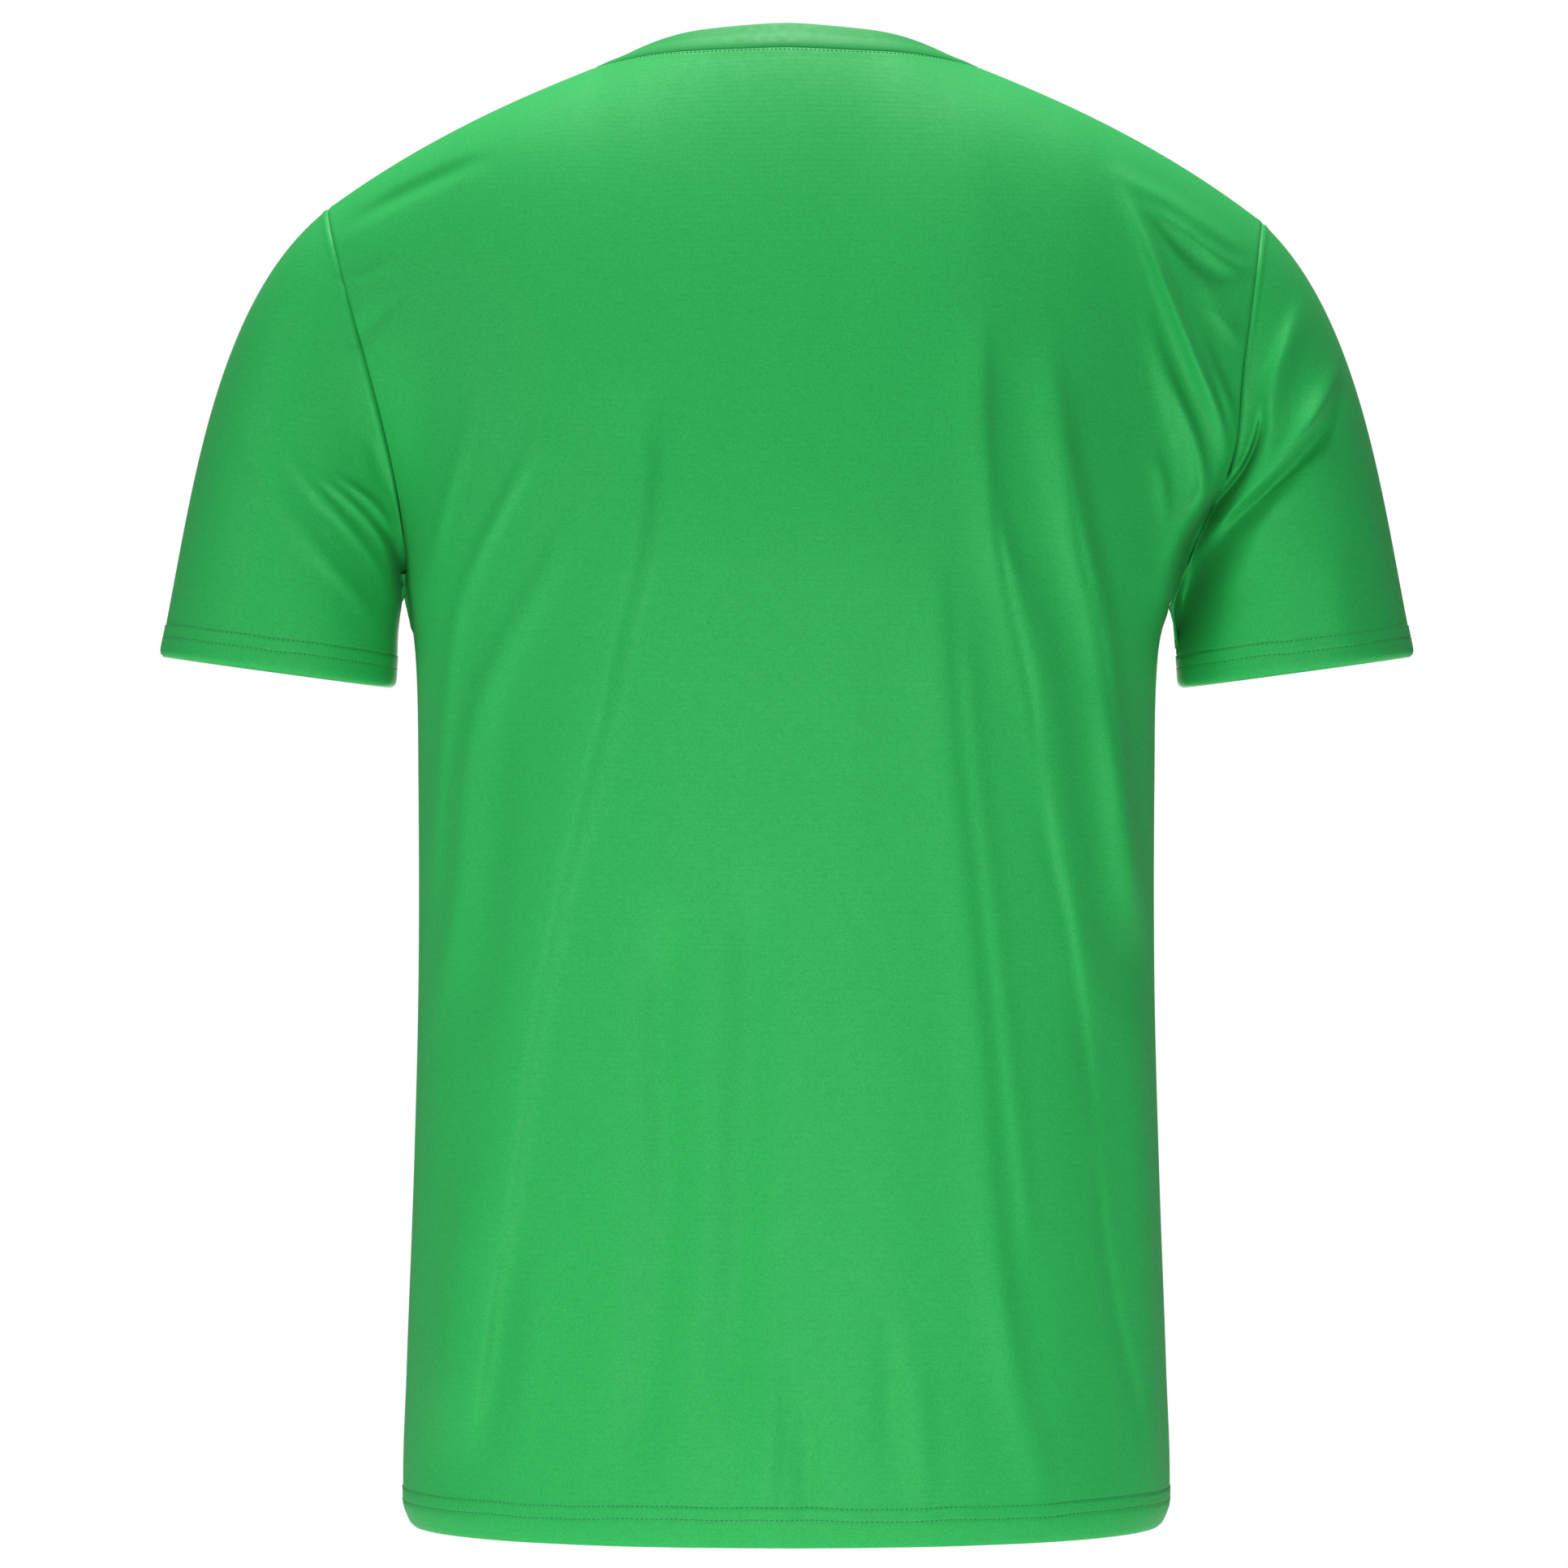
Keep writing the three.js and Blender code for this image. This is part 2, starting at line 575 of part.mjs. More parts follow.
const jerseyGreen = new THREE.MeshStandardMaterial({ color: 0x37b25a, roughness: 0.55, metalness: 0 });
const bandGreen = new THREE.MeshStandardMaterial({ color: 0x3bb860, roughness: 0.6, metalness: 0 });

const shirt = new THREE.Group();
for (const piece of pieces) {
  shirt.add(wallMesh(piece, piece.name === "neckband" ? bandGreen : jerseyGreen));
}

export default shirt;
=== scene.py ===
# %% [markdown]
# # A performance t-shirt, cut and sewn in Blender
#
# The shirt is five cut pieces of light, springy knit: a back panel, a front panel, two set-in sleeves and a
# folded neckband. It is filled out as when someone wears it, with nobody inside. The solid parts of the frame
# already have its shape as plain walls. Here the same form is drawn again with many more points, so that it
# can carry creases, seams, stitches and a knit surface.
#
# All sizes of the shirt are in millimetres, and turn into metres only when a mesh is made. The origin is
# midway between the two high shoulder points. The front faces -Y, the back +Y, and the wearer's left is +X.

# %% The frame
import math

import bpy
import numpy as np
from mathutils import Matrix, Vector


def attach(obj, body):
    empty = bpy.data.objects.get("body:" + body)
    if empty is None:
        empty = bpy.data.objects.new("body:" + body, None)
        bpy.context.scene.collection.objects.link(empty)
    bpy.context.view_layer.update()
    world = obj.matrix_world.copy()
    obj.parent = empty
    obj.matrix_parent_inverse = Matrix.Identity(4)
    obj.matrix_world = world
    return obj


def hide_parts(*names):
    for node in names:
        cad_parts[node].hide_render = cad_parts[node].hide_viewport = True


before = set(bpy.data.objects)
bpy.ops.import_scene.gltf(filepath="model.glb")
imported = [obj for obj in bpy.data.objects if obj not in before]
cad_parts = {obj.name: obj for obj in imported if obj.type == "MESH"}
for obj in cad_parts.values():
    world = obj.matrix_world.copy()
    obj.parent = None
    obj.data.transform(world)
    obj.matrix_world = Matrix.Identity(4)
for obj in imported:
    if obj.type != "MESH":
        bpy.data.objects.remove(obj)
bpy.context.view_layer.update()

MM = 0.001
for spare in ("Cube", "Light", "Camera"):
    if spare in bpy.data.objects:
        bpy.data.objects.remove(bpy.data.objects[spare])

# %% [markdown]
# ## The form of the body
#
# Below the arms the shirt is a tube, and each level of it is a rounded outline, squarer than an ellipse. A
# few levels are enough: a smooth curve runs through each column of the table. It could be a cylinder that is
# scaled by hand, but a table keeps every size readable and easy to change.


# %% Small helpers
def mix(a, b, share):
    return a + (b - a) * share


def smooth(value):
    value = np.clip(value, 0, 1)
    return value * value * (3 - 2 * value)


def pulled(start, start_pull, end, end_pull, share):
    """A smooth step from one place to another that leaves and arrives with the given pulls."""
    square, cube = share**2, share**3
    return (
        start * (2 * cube - 3 * square + 1)
        + start_pull * (cube - 2 * square + share)
        + end * (3 * square - 2 * cube)
        + end_pull * (cube - square)
    )


def points(x, y, z):
    return np.stack(np.broadcast_arrays(x, y, z), -1).astype(float)


def unit(directions):
    """The same directions, each one long."""
    return directions / (np.linalg.norm(directions, axis=-1, keepdims=True) + 1e-12)


def placed(name, data):
    """A new object in the scene."""
    piece = bpy.data.objects.new(name, data)
    bpy.context.scene.collection.objects.link(piece)
    return piece


# %% The body's levels
BODY_LEVELS = np.array(
    [
        # height, left half, right half, back, front, squareness
        (-717, 184.6, 184.2, 119.5, 121.5, 2.2),
        (-705, 188.8, 188.4, 121, 123, 2.2),
        (-640, 187.2, 186.8, 117.5, 121, 2.2),
        (-545, 183.7, 183.4, 112.5, 118.5, 2.25),
        (-450, 181.4, 181.0, 110, 118, 2.3),
        (-350, 181.4, 181.0, 112.5, 122, 2.35),
        (-290, 182.8, 182.6, 116, 126, 2.35),
        (-250, 188.6, 189.6, 118.5, 127, 2.3),
    ]
)
HEIGHT, LEFT, RIGHT, BACK, FRONT, SQUARE = range(6)
HEM_Z = BODY_LEVELS[0, HEIGHT]
CENTRE_SPACING = 0.56  # how far apart columns are at the centre, against an even spread


def body_size(column, z):
    heights, sizes = BODY_LEVELS[:, HEIGHT], BODY_LEVELS[:, column]
    low = np.searchsorted(heights[1:-1], z)
    rows = np.arange(len(heights))
    before, after = np.maximum(rows - 1, 0), np.minimum(rows + 1, len(heights) - 1)
    slopes = (sizes[after] - sizes[before]) / (heights[after] - heights[before])
    span = heights[low + 1] - heights[low]
    share = (z - heights[low]) / span
    return pulled(sizes[low], slopes[low] * span, sizes[low + 1], slopes[low + 1] * span, share)


def round_body(facing, across, z):
    """A point of the tube. across is -1 at the wearer's right seam and 1 at the left one."""
    share = np.abs(across)
    turn = share * mix(CENTRE_SPACING, 1, share) * math.pi / 2
    square = body_size(SQUARE, z)
    reach = (np.sin(turn) ** square + np.abs(np.cos(turn)) ** square) ** (-1 / square)
    half = np.where(across > 0, body_size(LEFT, z), -body_size(RIGHT, z))
    depth = body_size(BACK, z) if facing > 0 else -body_size(FRONT, z)
    return points(half * reach * np.sin(turn), depth * reach * np.cos(turn), z)


print("chest half widths", BODY_LEVELS[-1, LEFT], BODY_LEVELS[-1, RIGHT], "mm")

# %% [markdown]
# ## Shoulders, neckline and armholes
#
# Above the underarm each column of cloth rises, arches over and meets its opposite number on the shoulder
# seam. A curve with a pull at each end does that, as a designer's spline does. Over the neck the form goes on
# as one smooth ridge and the neckline is cut out of it, as a cutter does, so no crease starts at the corner.

# %% Sizes of the upper body
# a number with two sides or facings is kept as {1: left or back, -1: right or front}
NECK_HALF = 94
NECK_DEPTH = {1: 52, -1: 68}  # how far behind and before the shoulder seams the neckline reaches
NECK_SQUARE = {1: 2, -1: 2.4}
RIDGE_RISE = 38.5  # how high the ridge over the neck stands, before the neckline is cut out
RIDGE_EASING = 1.8
SHOULDER_FALL = (0.396, 5e-4, 4e-6)  # fall of the shoulder seam, by its run, the run squared and cubed
# by facing: rise from the underarm level, arch over the ridge, climb there, arch at the shoulder
PANEL_PULLS = {1: (290, -225, 0, -280), -1: (230, 140, 175, 270)}
# by side: underarm height, shoulder point, rise, out, sweep, tuck, and the share of the sleeve's spread
UNDERARM, SHOULDER, RISE, OUT, SWEEP, TUCK, SPREAD = range(7)
ARMHOLES = {1: (-250, 225, 120, -42, 150, -15, 1), -1: (-256, 234.6, 112, 72, 150, 18, 0.84)}
SWEEP_START = 0.5  # the share of the half width where the armhole starts to bend the columns
SIDE_STEP = 0.004  # a small step across, to find which way the tube runs
NECK_SHARE = 8 / 17  # the share of the columns that end on the neckline


def by_side(across, item):
    """One of the armhole's sizes, for whichever side each column is on."""
    return np.where(np.asarray(across) < 0, ARMHOLES[-1][item], ARMHOLES[1][item])


def underarm_z(across):
    return mix(ARMHOLES[-1][UNDERARM], ARMHOLES[1][UNDERARM], (across + 1) / 2)


def ridge_point(across):
    """The line where back and front meet: the shoulder seam, and over the neck a ridge that is cut away."""
    share, side = np.abs(across), np.where(across < 0, -1, 1)
    neck = np.minimum(share / NECK_SHARE, 1)
    roll = SHOULDER_FALL[0] * NECK_HALF / 2 - RIDGE_RISE
    over_neck = RIDGE_RISE - (RIDGE_RISE - roll) * neck**2 - roll * neck**4
    out = np.maximum((share - NECK_SHARE) / (1 - NECK_SHARE), 0) * (by_side(across, SHOULDER) - NECK_HALF)
    fall = SHOULDER_FALL[0] * out + SHOULDER_FALL[1] * out**2 + SHOULDER_FALL[2] * out**3
    return points(side * (NECK_HALF * neck + out), 0, np.where(share <= NECK_SHARE, over_neck, -fall))


# %% How the cloth rises and arches over
def underarm_pull(facing, across):
    share, side = np.abs(across), np.where(across < 0, -1, 1)
    bend = smooth((share - SWEEP_START) / (1 - SWEEP_START)) ** 2
    z = underarm_z(across)
    here = round_body(facing, across, z)
    inward = unit(round_body(facing, across - side * SIDE_STEP, z) - here)
    rise = mix(PANEL_PULLS[facing][0], by_side(across, RISE), bend)
    up = (here - round_body(facing, across, z - 1)) * rise[..., None]
    sideways = points(side * by_side(across, OUT) * bend, 0, 0)
    return up + inward * (by_side(across, SWEEP) * bend)[..., None] + sideways


def ridge_pull(facing, across):
    share, side = np.abs(across), np.where(across < 0, -1, 1)
    _, arch, climb, shoulder_arch = PANEL_PULLS[facing]
    outer = smooth((share - NECK_SHARE) / (1 - NECK_SHARE))
    shoulder = smooth(share / NECK_SHARE) ** RIDGE_EASING
    tuck = side * by_side(across, TUCK) * outer
    return points(tuck, mix(arch, shoulder_arch, shoulder), mix(climb, 0, shoulder))


def upper_form(facing, across, over):
    start, start_pull = round_body(facing, across, underarm_z(across)), underarm_pull(facing, across)
    end, end_pull = ridge_point(across), ridge_pull(facing, across)
    return pulled(start, start_pull, end, end_pull, np.asarray(over)[..., None])


HALVINGS = 30


def neck_stop(facing, across):
    """How far up each column the neckline cuts it, found by halving."""
    low, high = np.full(np.shape(across), 0.5), np.ones(np.shape(across))
    depth, square = NECK_DEPTH[facing], NECK_SQUARE[facing]
    for _ in range(HALVINGS):
        middle = (low + high) / 2
        place = upper_form(facing, across, middle)
        out = np.clip(np.abs(place[..., 0]) / NECK_HALF, 0, 1)
        below = facing * place[..., 1] > depth * (1 - out**square) ** (1 / square)
        low, high = np.where(below, middle, low), np.where(below, high, middle)
    return np.where(np.abs(across) >= NECK_SHARE, 1.0, high)


# %% [markdown]
# ## Creases
#
# Worn cloth falls in long drapes from the shoulder blades and the chest, and crumples into sharper ones by
# the armholes. Each is one row of a table: a line of a few points, out and up, from its upper end to its
# lower one, how far it stands out (or in, below zero), and how wide it is on its left and on its right, going
# down it. A narrow side makes a sharp edge and a wide one a soft roll. Cloth simulation would make creases
# too, but not these ones in these places, so they are listed one by one.

# %% Creases of the back
BACK_CREASES = [
    # the long drape under the left shoulder blade, and those outside it
    ([(70, -150), (70, -200), (75, -245), (84, -280), (92, -320), (102, -360), (112, -400), (122, -450),
      (130, -500), (138, -560), (149, -630), (158, -690)], 7.0, 26, 8),
    ([(96, -205), (104, -226), (118, -256), (133, -282), (148, -314), (155, -350),
      (159, -395), (165, -435), (174, -480)], 2.8, 5, 7),
    ([(112, -150), (119, -186), (131, -210), (145, -236), (159, -272), (166, -320),
      (171, -370), (173, -425)], 2.4, 4, 4),
    ([(146, -158), (154, -183), (163, -212), (172, -244), (179, -270)], 1.6, 4, 4),
    ([(122, -190), (134, -216), (150, -248)], 1.4, 2.4, 2.4),
    ([(134, -290), (138, -345), (141, -390), (147, -440), (153, -500)], -2.4, 9, 9),
    ([(150, -520), (158, -575), (166, -630), (173, -690)], 3.0, 9, 12),
    ([(133, -550), (140, -620), (150, -690)], -2.8, 6, 7),
    ([(118, -560), (123, -625), (130, -690)], 2.2, 7, 7),
    # the middle of the back, towards the hem
    ([(56, -400), (58, -480), (56, -545), (62, -610), (74, -700)], -5.0, 13, 11),
    ([(16, -380), (17, -450), (20, -520), (24, -590), (30, -670)], -4.0, 12, 10),
    ([(8, -620), (8, -670), (12, -716)], 2.8, 10, 5),
    ([(-10, -640), (-9, -670), (-8, -716)], -2.0, 5, 7),
    ([(-48, -590), (-49, -640), (-50, -700)], -2.0, 7, 5),
    ([(-62, -610), (-64, -660), (-68, -716)], 1.6, 6, 6),
    # drapes under the right shoulder blade
    ([(-70, -230), (-76, -320), (-84, -400), (-92, -480), (-98, -560), (-110, -660)], 2.4, 14, 6),
    ([(-84, -255), (-90, -340), (-101, -430), (-113, -541), (-119, -600)], 1.4, 4, 5.5),
    ([(-93, -119), (-94, -180), (-100, -225), (-110, -258), (-117, -285)], 4.6, 12, 4.5),
    ([(-104, -235), (-114, -270), (-124, -310), (-131, -360), (-140, -421), (-152, -482)], 4.2, 12, 10),
    ([(-98, -180), (-101, -230), (-108, -270), (-117, -310), (-122, -352)], -1.6, 2, 2),
    ([(-120, -335), (-126, -378), (-135, -419), (-142, -463), (-151, -532)], -2.0, 6, 2.2),
    ([(-148, -512), (-154, -573), (-163, -622), (-171, -655), (-176, -691)], -1.6, 5, 2.2),
    ([(-98, -560), (-108, -620), (-116, -690)], 1.8, 9, 7),
    ([(-112, -640), (-121, -680), (-123, -716)], 1.4, 8, 7),
    ([(-122, -134), (-130, -174), (-139, -221), (-152, -277), (-158, -320),
      (-166, -390), (-172, -440)], 7.6, 12, 6),
    ([(-154, -299), (-161, -345), (-169, -396), (-177, -442)], 4.4, 9, 6),
    ([(-134, -189), (-140, -234), (-151, -279), (-159, -328), (-166, -375)], -1.6, 2, 2),
    ([(-170, -430), (-174, -510), (-177, -590), (-179, -650), (-180, -716)], 5.0, 12, 4),
    # gathered cloth beside the right armhole
    ([(-160, -58), (-172, -84), (-184, -114), (-195, -142), (-205, -172), (-210, -206)], 9.0, 4, 3.2),
    ([(-179, -140), (-188, -166), (-195, -190), (-199, -212), (-198, -232)], 5.4, 3.4, 3),
    ([(-170, -118), (-178, -142), (-184, -168), (-190, -196), (-191, -222)], 2.6, 4, 4),
    ([(-190, -120), (-201, -142), (-211, -168), (-213, -192)], 3.4, 3, 3),
    ([(-175, -188), (-181, -208), (-184, -232)], 2.4, 4, 3),
    ([(-208, -188), (-202, -208), (-193, -226), (-186, -244), (-181, -264)], 7.0, 7, 3),
    ([(-152, -50), (-172, -62), (-192, -74), (-212, -88), (-230, -96)], 4.5, 5, 4),
    ([(-168, -68), (-186, -80), (-202, -92), (-216, -101), (-232, -104)], 5.0, 4, 4),
    ([(-166, -72), (-184, -88), (-203, -105), (-222, -118)], -1.5, 5, 6),
    ([(-196, -112), (-208, -124), (-222, -142)], 2.6, 4, 4),
    # pulls from the left shoulder point
    ([(224, -87), (207, -77), (189, -67), (162, -55), (136, -46)], -3.8, 4, 4),
    ([(222, -111), (206, -104), (184, -97)], -1.8, 3, 4),
    ([(216, -146), (201, -130), (176, -110)], -1.8, 4, 5),
]
print(len(BACK_CREASES), "creases on the back")

# %% Creases of the front
FRONT_CREASES = [
    ([(78, -150), (82, -230), (96, -320), (112, -420)], 5.5, 18, 7),
    ([(104, -340), (116, -430), (132, -520), (142, -600)], 4.5, 10, 9),
    ([(128, -140), (136, -190), (148, -250), (160, -330)], 6.5, 6, 9),
    ([(140, -300), (150, -390), (160, -470)], 4.0, 9, 8),
    ([(152, -150), (166, -190), (180, -235)], 6.0, 6, 5),
    ([(168, -100), (184, -135), (200, -180), (206, -212)], 6.0, 6, 5),
    ([(186, -84), (202, -100), (218, -124)], 3.0, 5, 5),
    ([(150, -520), (158, -590), (168, -660)], 3.2, 9, 8),
    ([(60, -470), (66, -560), (78, -650)], 3.2, 13, 9),
    ([(24, -430), (22, -520), (30, -610)], 2.8, 12, 9),
    ([(6, -630), (8, -670), (12, -716)], 2.8, 12, 7),
    ([(-40, -560), (-44, -620), (-52, -690)], -2.5, 8, 6),
    ([(-80, -160), (-84, -260), (-94, -360), (-110, -480)], 5.0, 6, 16),
    ([(-98, -400), (-108, -500), (-122, -620)], 3.8, 9, 10),
    ([(-112, -150), (-120, -210), (-134, -280), (-146, -350)], 6.0, 5, 10),
    ([(-134, -330), (-146, -420), (-156, -510)], -3.5, 8, 4),
    ([(-150, -160), (-164, -200), (-178, -244)], 6.5, 5, 6),
    ([(-160, -96), (-180, -130), (-198, -176), (-208, -212)], 7.5, 5, 7),
    ([(-178, -74), (-198, -92), (-222, -116)], -4.0, 5, 5),
    ([(-150, -500), (-160, -580), (-172, -670)], 3.0, 6, 10),
    ([(-84, -600), (-90, -650), (-98, -716)], 2.2, 9, 9),
]
print(len(FRONT_CREASES), "creases on the front")

# %% Creases of the sleeves
SLEEVE_CREASES_BACK = [
    ([(269, -164), (263, -184), (254, -203), (240, -224), (223, -245), (207, -264), (197, -284)], 1.5, 6, 4),
    ([(236, -228), (222, -246), (209, -262), (198, -282)], 0.9, 3.4, 3.4),
    ([(254, -162), (246, -186), (231, -208), (213, -228), (199, -248), (191, -270)], 2.0, 3, 2.6),
    ([(240, -196), (224, -206), (208, -220), (197, -234), (190, -252)], 2.5, 2.4, 2.2),
    ([(226, -200), (212, -208), (200, -218), (194, -230), (190, -244)], 2.6, 2.4, 2.2),
    ([(208, -220), (198, -226), (192, -236), (188, -252), (187, -272), (187, -306)], -14, 3, 4),
    ([(204, -179), (199, -197), (193, -215)], -1.4, 4, 3),
    # the right sleeve: a deep gap beside the seam, and the folds that overhang it
    ([(-230, -164), (-226, -182), (-219, -198), (-210, -212), (-201, -226)], -14.0, 1.9, 2.8),
    ([(-216, -202), (-206, -219), (-198, -234), (-191, -250)], -24.0, 3.8, 4.6),
    ([(-254, -108), (-246, -130), (-237, -152), (-230, -174), (-223, -192), (-214, -208),
      (-204, -226), (-195, -246)], 6.2, 4, 7),
    ([(-270, -134), (-267, -154), (-258, -172), (-244, -188), (-228, -204), (-214, -219),
      (-203, -235), (-194, -254)], 8.0, 7, 2.8),
    ([(-272, -150), (-263, -176), (-248, -194), (-231, -211), (-216, -227), (-205, -246)], -7.0, 2.4, 5),
    ([(-246, -200), (-236, -216), (-222, -240)], 2.4, 4, 5),
    ([(-210, -226), (-200, -247), (-194, -272), (-193, -298)], -22.0, 6, 8),
    ([(-236, -222), (-224, -240), (-212, -264)], 2.6, 8, 6),
    ([(-266, -228), (-268, -261), (-272, -299)], 2.0, 12, 12),
]
SLEEVE_CREASES_FRONT = [
    ([(262, -130), (254, -160), (240, -196), (216, -228)], 5.4, 8, 4),
    ([(250, -184), (232, -216), (210, -244), (198, -268)], 3.7, 4, 4),
    ([(236, -150), (226, -184), (208, -214)], 3.7, 4, 5),
    ([(264, -220), (246, -248), (222, -276)], 2.2, 8, 6),
    ([(-252, -118), (-246, -150), (-236, -182), (-216, -214)], 6.1, 4, 7),
    ([(-266, -160), (-252, -196), (-230, -226), (-206, -252)], 4.8, 4, 4),
    ([(-238, -206), (-222, -230), (-202, -262)], 3.1, 4, 4),
    ([(-264, -230), (-250, -256), (-232, -284)], 2.0, 7, 8),
]
CREASES = {1: BACK_CREASES + SLEEVE_CREASES_BACK, -1: FRONT_CREASES + SLEEVE_CREASES_FRONT}
CREASE_STEPS = 6  # straight steps between two points of a line
CREASE_REACH = 2.6  # further off than this many widths, a crease no longer counts
CREASE_END = (0.42, 55)  # a crease dies away at each end over this share of its length, or these millimetres
SIDE_FADE = 10  # creases die away over this depth before a side seam


# %% The shape of one crease
def crease_line(places):
    """A smooth line through the points."""
    places = np.array(places, float)
    turns = np.gradient(places, axis=0)
    share = np.linspace(0, 1, CREASE_STEPS + 1)[:-1, None]
    spans = zip(places, turns, places[1:], turns[1:])
    return np.concatenate([pulled(*span, share) for span in spans] + [places[-1:]])


def crease_lift(x, z, crease):
    """How far one crease lifts the cloth at each place."""
    places, height, left, right = crease
    line = crease_line(places)
    place = np.stack([x, z], -1)
    reach = CREASE_REACH * max(left, right)
    near = (place > line.min(0) - reach).all(-1) & (place < line.max(0) + reach).all(-1)
    off = place[near][:, None, :] - line[:-1]
    step = line[1:] - line[:-1]
    share = np.clip((off * step).sum(-1) / (step**2).sum(-1), 0, 1)
    gap = off - share[..., None] * step
    nearest = np.hypot(gap[..., 0], gap[..., 1]).argmin(1)
    row = np.arange(len(nearest))
    away, share = gap[row, nearest], share[row, nearest]
    side = step[nearest, 0] * away[:, 1] - step[nearest, 1] * away[:, 0]
    reached = np.concatenate([[0], np.cumsum(np.hypot(step[:, 0], step[:, 1]))])
    along = mix(reached[nearest], reached[nearest + 1], share)
    fade = min(CREASE_END[0] * reached[-1], CREASE_END[1])
    ends = smooth(along / fade) * smooth((reached[-1] - along) / fade)
    width = np.where(side > 0, left, right)
    lift = np.zeros(x.shape)
    lift[near] = height * ends * np.exp(-(away**2).sum(1) / width**2)
    return lift


print("the longest line has", max(len(crease_line(crease[0])) for crease in BACK_CREASES), "points")

# %% [markdown]
# Between the creases the cloth is never quite even. A few long, shallow waves, each with its own slant, do
# that without any random numbers, so the shirt comes out the same every time.

# %% Uneven cloth
# height, then how fast the wave turns across and up, in turns per metre, and where it starts
EASE_WAVES = [
    (0.22, 9, 0.8, 0.3),
    (0.16, 15, -1.3, 1.9),
    (0.1, 24, 2.1, 4.1),
    (0.07, 37, -2.9, 2.2),
    (0.05, 13, 9.0, 5.3),
    (0.04, -19, 14.0, 0.9),
]


def ease_lift(x, z):
    lift = np.zeros(x.shape)
    for height, across, up, start in EASE_WAVES:
        lift += height * np.sin(2 * math.pi * MM * (across * x + up * z) + start)
    return lift


# The worn shirt also settles a little off its plain form: the right armpit hangs lower than the left one, and
# the right armhole is pushed outwards.
SETTLING = [
    # side, how far out and how high the place is, how far it moves out and down, and how far the move reaches
    (-1, 184, -256, 0, 9, 16),
    (1, 184, -256, 0, 4, 14),
    (-1, 212, -192, 5, 0, 30),
]


def creased(form):
    """Settles the plain form, and moves its points out to the back or front by their creases."""
    moved = form.copy()
    for side, out, height, outward, down, reach in SETTLING:
        away = np.hypot(form[..., 0] - side * out, form[..., 2] - height)
        near = np.exp(-(away**2) / reach**2)
        moved[..., 0] += side * outward * near
        moved[..., 2] -= down * near
    for facing in (1, -1):
        part = np.sign(form[..., 1]) == facing
        x, z = form[part][:, 0], form[part][:, 2]
        lift = ease_lift(x, z) + sum(crease_lift(x, z, crease) for crease in CREASES[facing])
        moved[part, 1] += facing * smooth(np.abs(form[part][:, 1]) / SIDE_FADE) * lift
    return moved


# %% [markdown]
# ## Nets of points
#
# Every piece is a net: rows of points over its surface. The two panels use the same rows up to the shoulder,
# so their edges match point for point, and each sleeve starts from the armhole's own points. That is how a
# seam is sewn, edge to edge, and it leaves no gap to hide.

# %% Rows and columns
NECK_COLUMNS, SHOULDER_COLUMNS = 36, 84
HALF_COLUMNS = NECK_COLUMNS + SHOULDER_COLUMNS
SIDE_ROWS, ARMHOLE_ROWS = 92, 106
BODY_HEM_DEPTH, CUFF_HEM_DEPTH = 19.2, 16.5
# heights of the rows over the fold of a hem: close together at the fold and beside the stitches
BODY_HEM_ROWS = [0, 0.7, 1.8, 3.4, 5.5, 8, 10.2, 11.6, 12.4, 13, 13.6, 14.2]
BODY_HEM_ROWS += [15, 16.2, 17.4, 18.2, 18.8, 19.4, 20, 20.8, 22, 24.5]
CUFF_HEM_ROWS = [16.9, 16.4, 15.8, 15, 13.6, 12, 11.2, 10.6, 10, 9.2, 7.6, 5.4, 3.4, 1.8, 0.7, 0]
NECK_EASING = 2.4  # how late, going up a column, the neckline starts to shorten its steps
NECK_CROWDING = 0.6  # how far the columns over the neck are drawn together towards its corners
SEAM_CROWDING = 0.55  # the same for rows and columns towards a seam


def crowded(count, start, end):
    """Even steps from 0 to 1 that are drawn together towards either end, by a share of their width."""
    share = np.linspace(0, 1, count + 1)
    return share + (start * (1 - share) ** 2 * -share + end * share**2 * (1 - share))


def column_places():
    even = np.linspace(0, 1, NECK_COLUMNS + 1)
    neck = NECK_SHARE * mix(even, np.sin(even * math.pi / 2), NECK_CROWDING)
    shoulder = mix(NECK_SHARE, 1, crowded(SHOULDER_COLUMNS, 0, SEAM_CROWDING))
    half = np.concatenate([neck, shoulder[1:]])
    return np.concatenate([-half[:0:-1], half])


def row_places():
    hem = np.array(BODY_HEM_ROWS) / SIDE_LENGTH
    side = mix(hem[-1], 1, np.linspace(0, 1, SIDE_ROWS - len(hem) + 2)[1:])
    above = 1 + crowded(ARMHOLE_ROWS, 0, SEAM_CROWDING)[1:]
    return np.concatenate([hem, side, above])


SIDE_LENGTH = underarm_z(0) - HEM_Z
COLUMNS, ROWS = column_places(), row_places()
UNDERARM_ROW = len(ROWS) - 1 - ARMHOLE_ROWS
print("a panel has", len(ROWS), "rows of", len(COLUMNS), "points")


# %% The two panels
def panel_form(facing):
    across = np.broadcast_to(COLUMNS, (len(ROWS), len(COLUMNS)))
    up = np.broadcast_to(ROWS[:, None], across.shape)
    tube = round_body(facing, across, mix(HEM_Z, underarm_z(across), np.minimum(up, 1)))
    over = np.maximum(up - 1, 0)
    stop = np.broadcast_to(neck_stop(facing, COLUMNS), across.shape)
    upper = upper_form(facing, across, over - (1 - stop) * over**NECK_EASING)
    return np.where((up <= 1)[..., None], tube, upper)


back_form, front_form = panel_form(1), panel_form(-1)
back_net, front_net = creased(back_form), creased(front_form)


# %% [markdown]
# ## Sleeves
#
# A set-in sleeve starts on the armhole seam and runs to a tilted oval cuff. Each of its lines leaves the
# armhole outwards, more on top than under the arm, and bends down into the cuff. The same pulled curve does
# it.

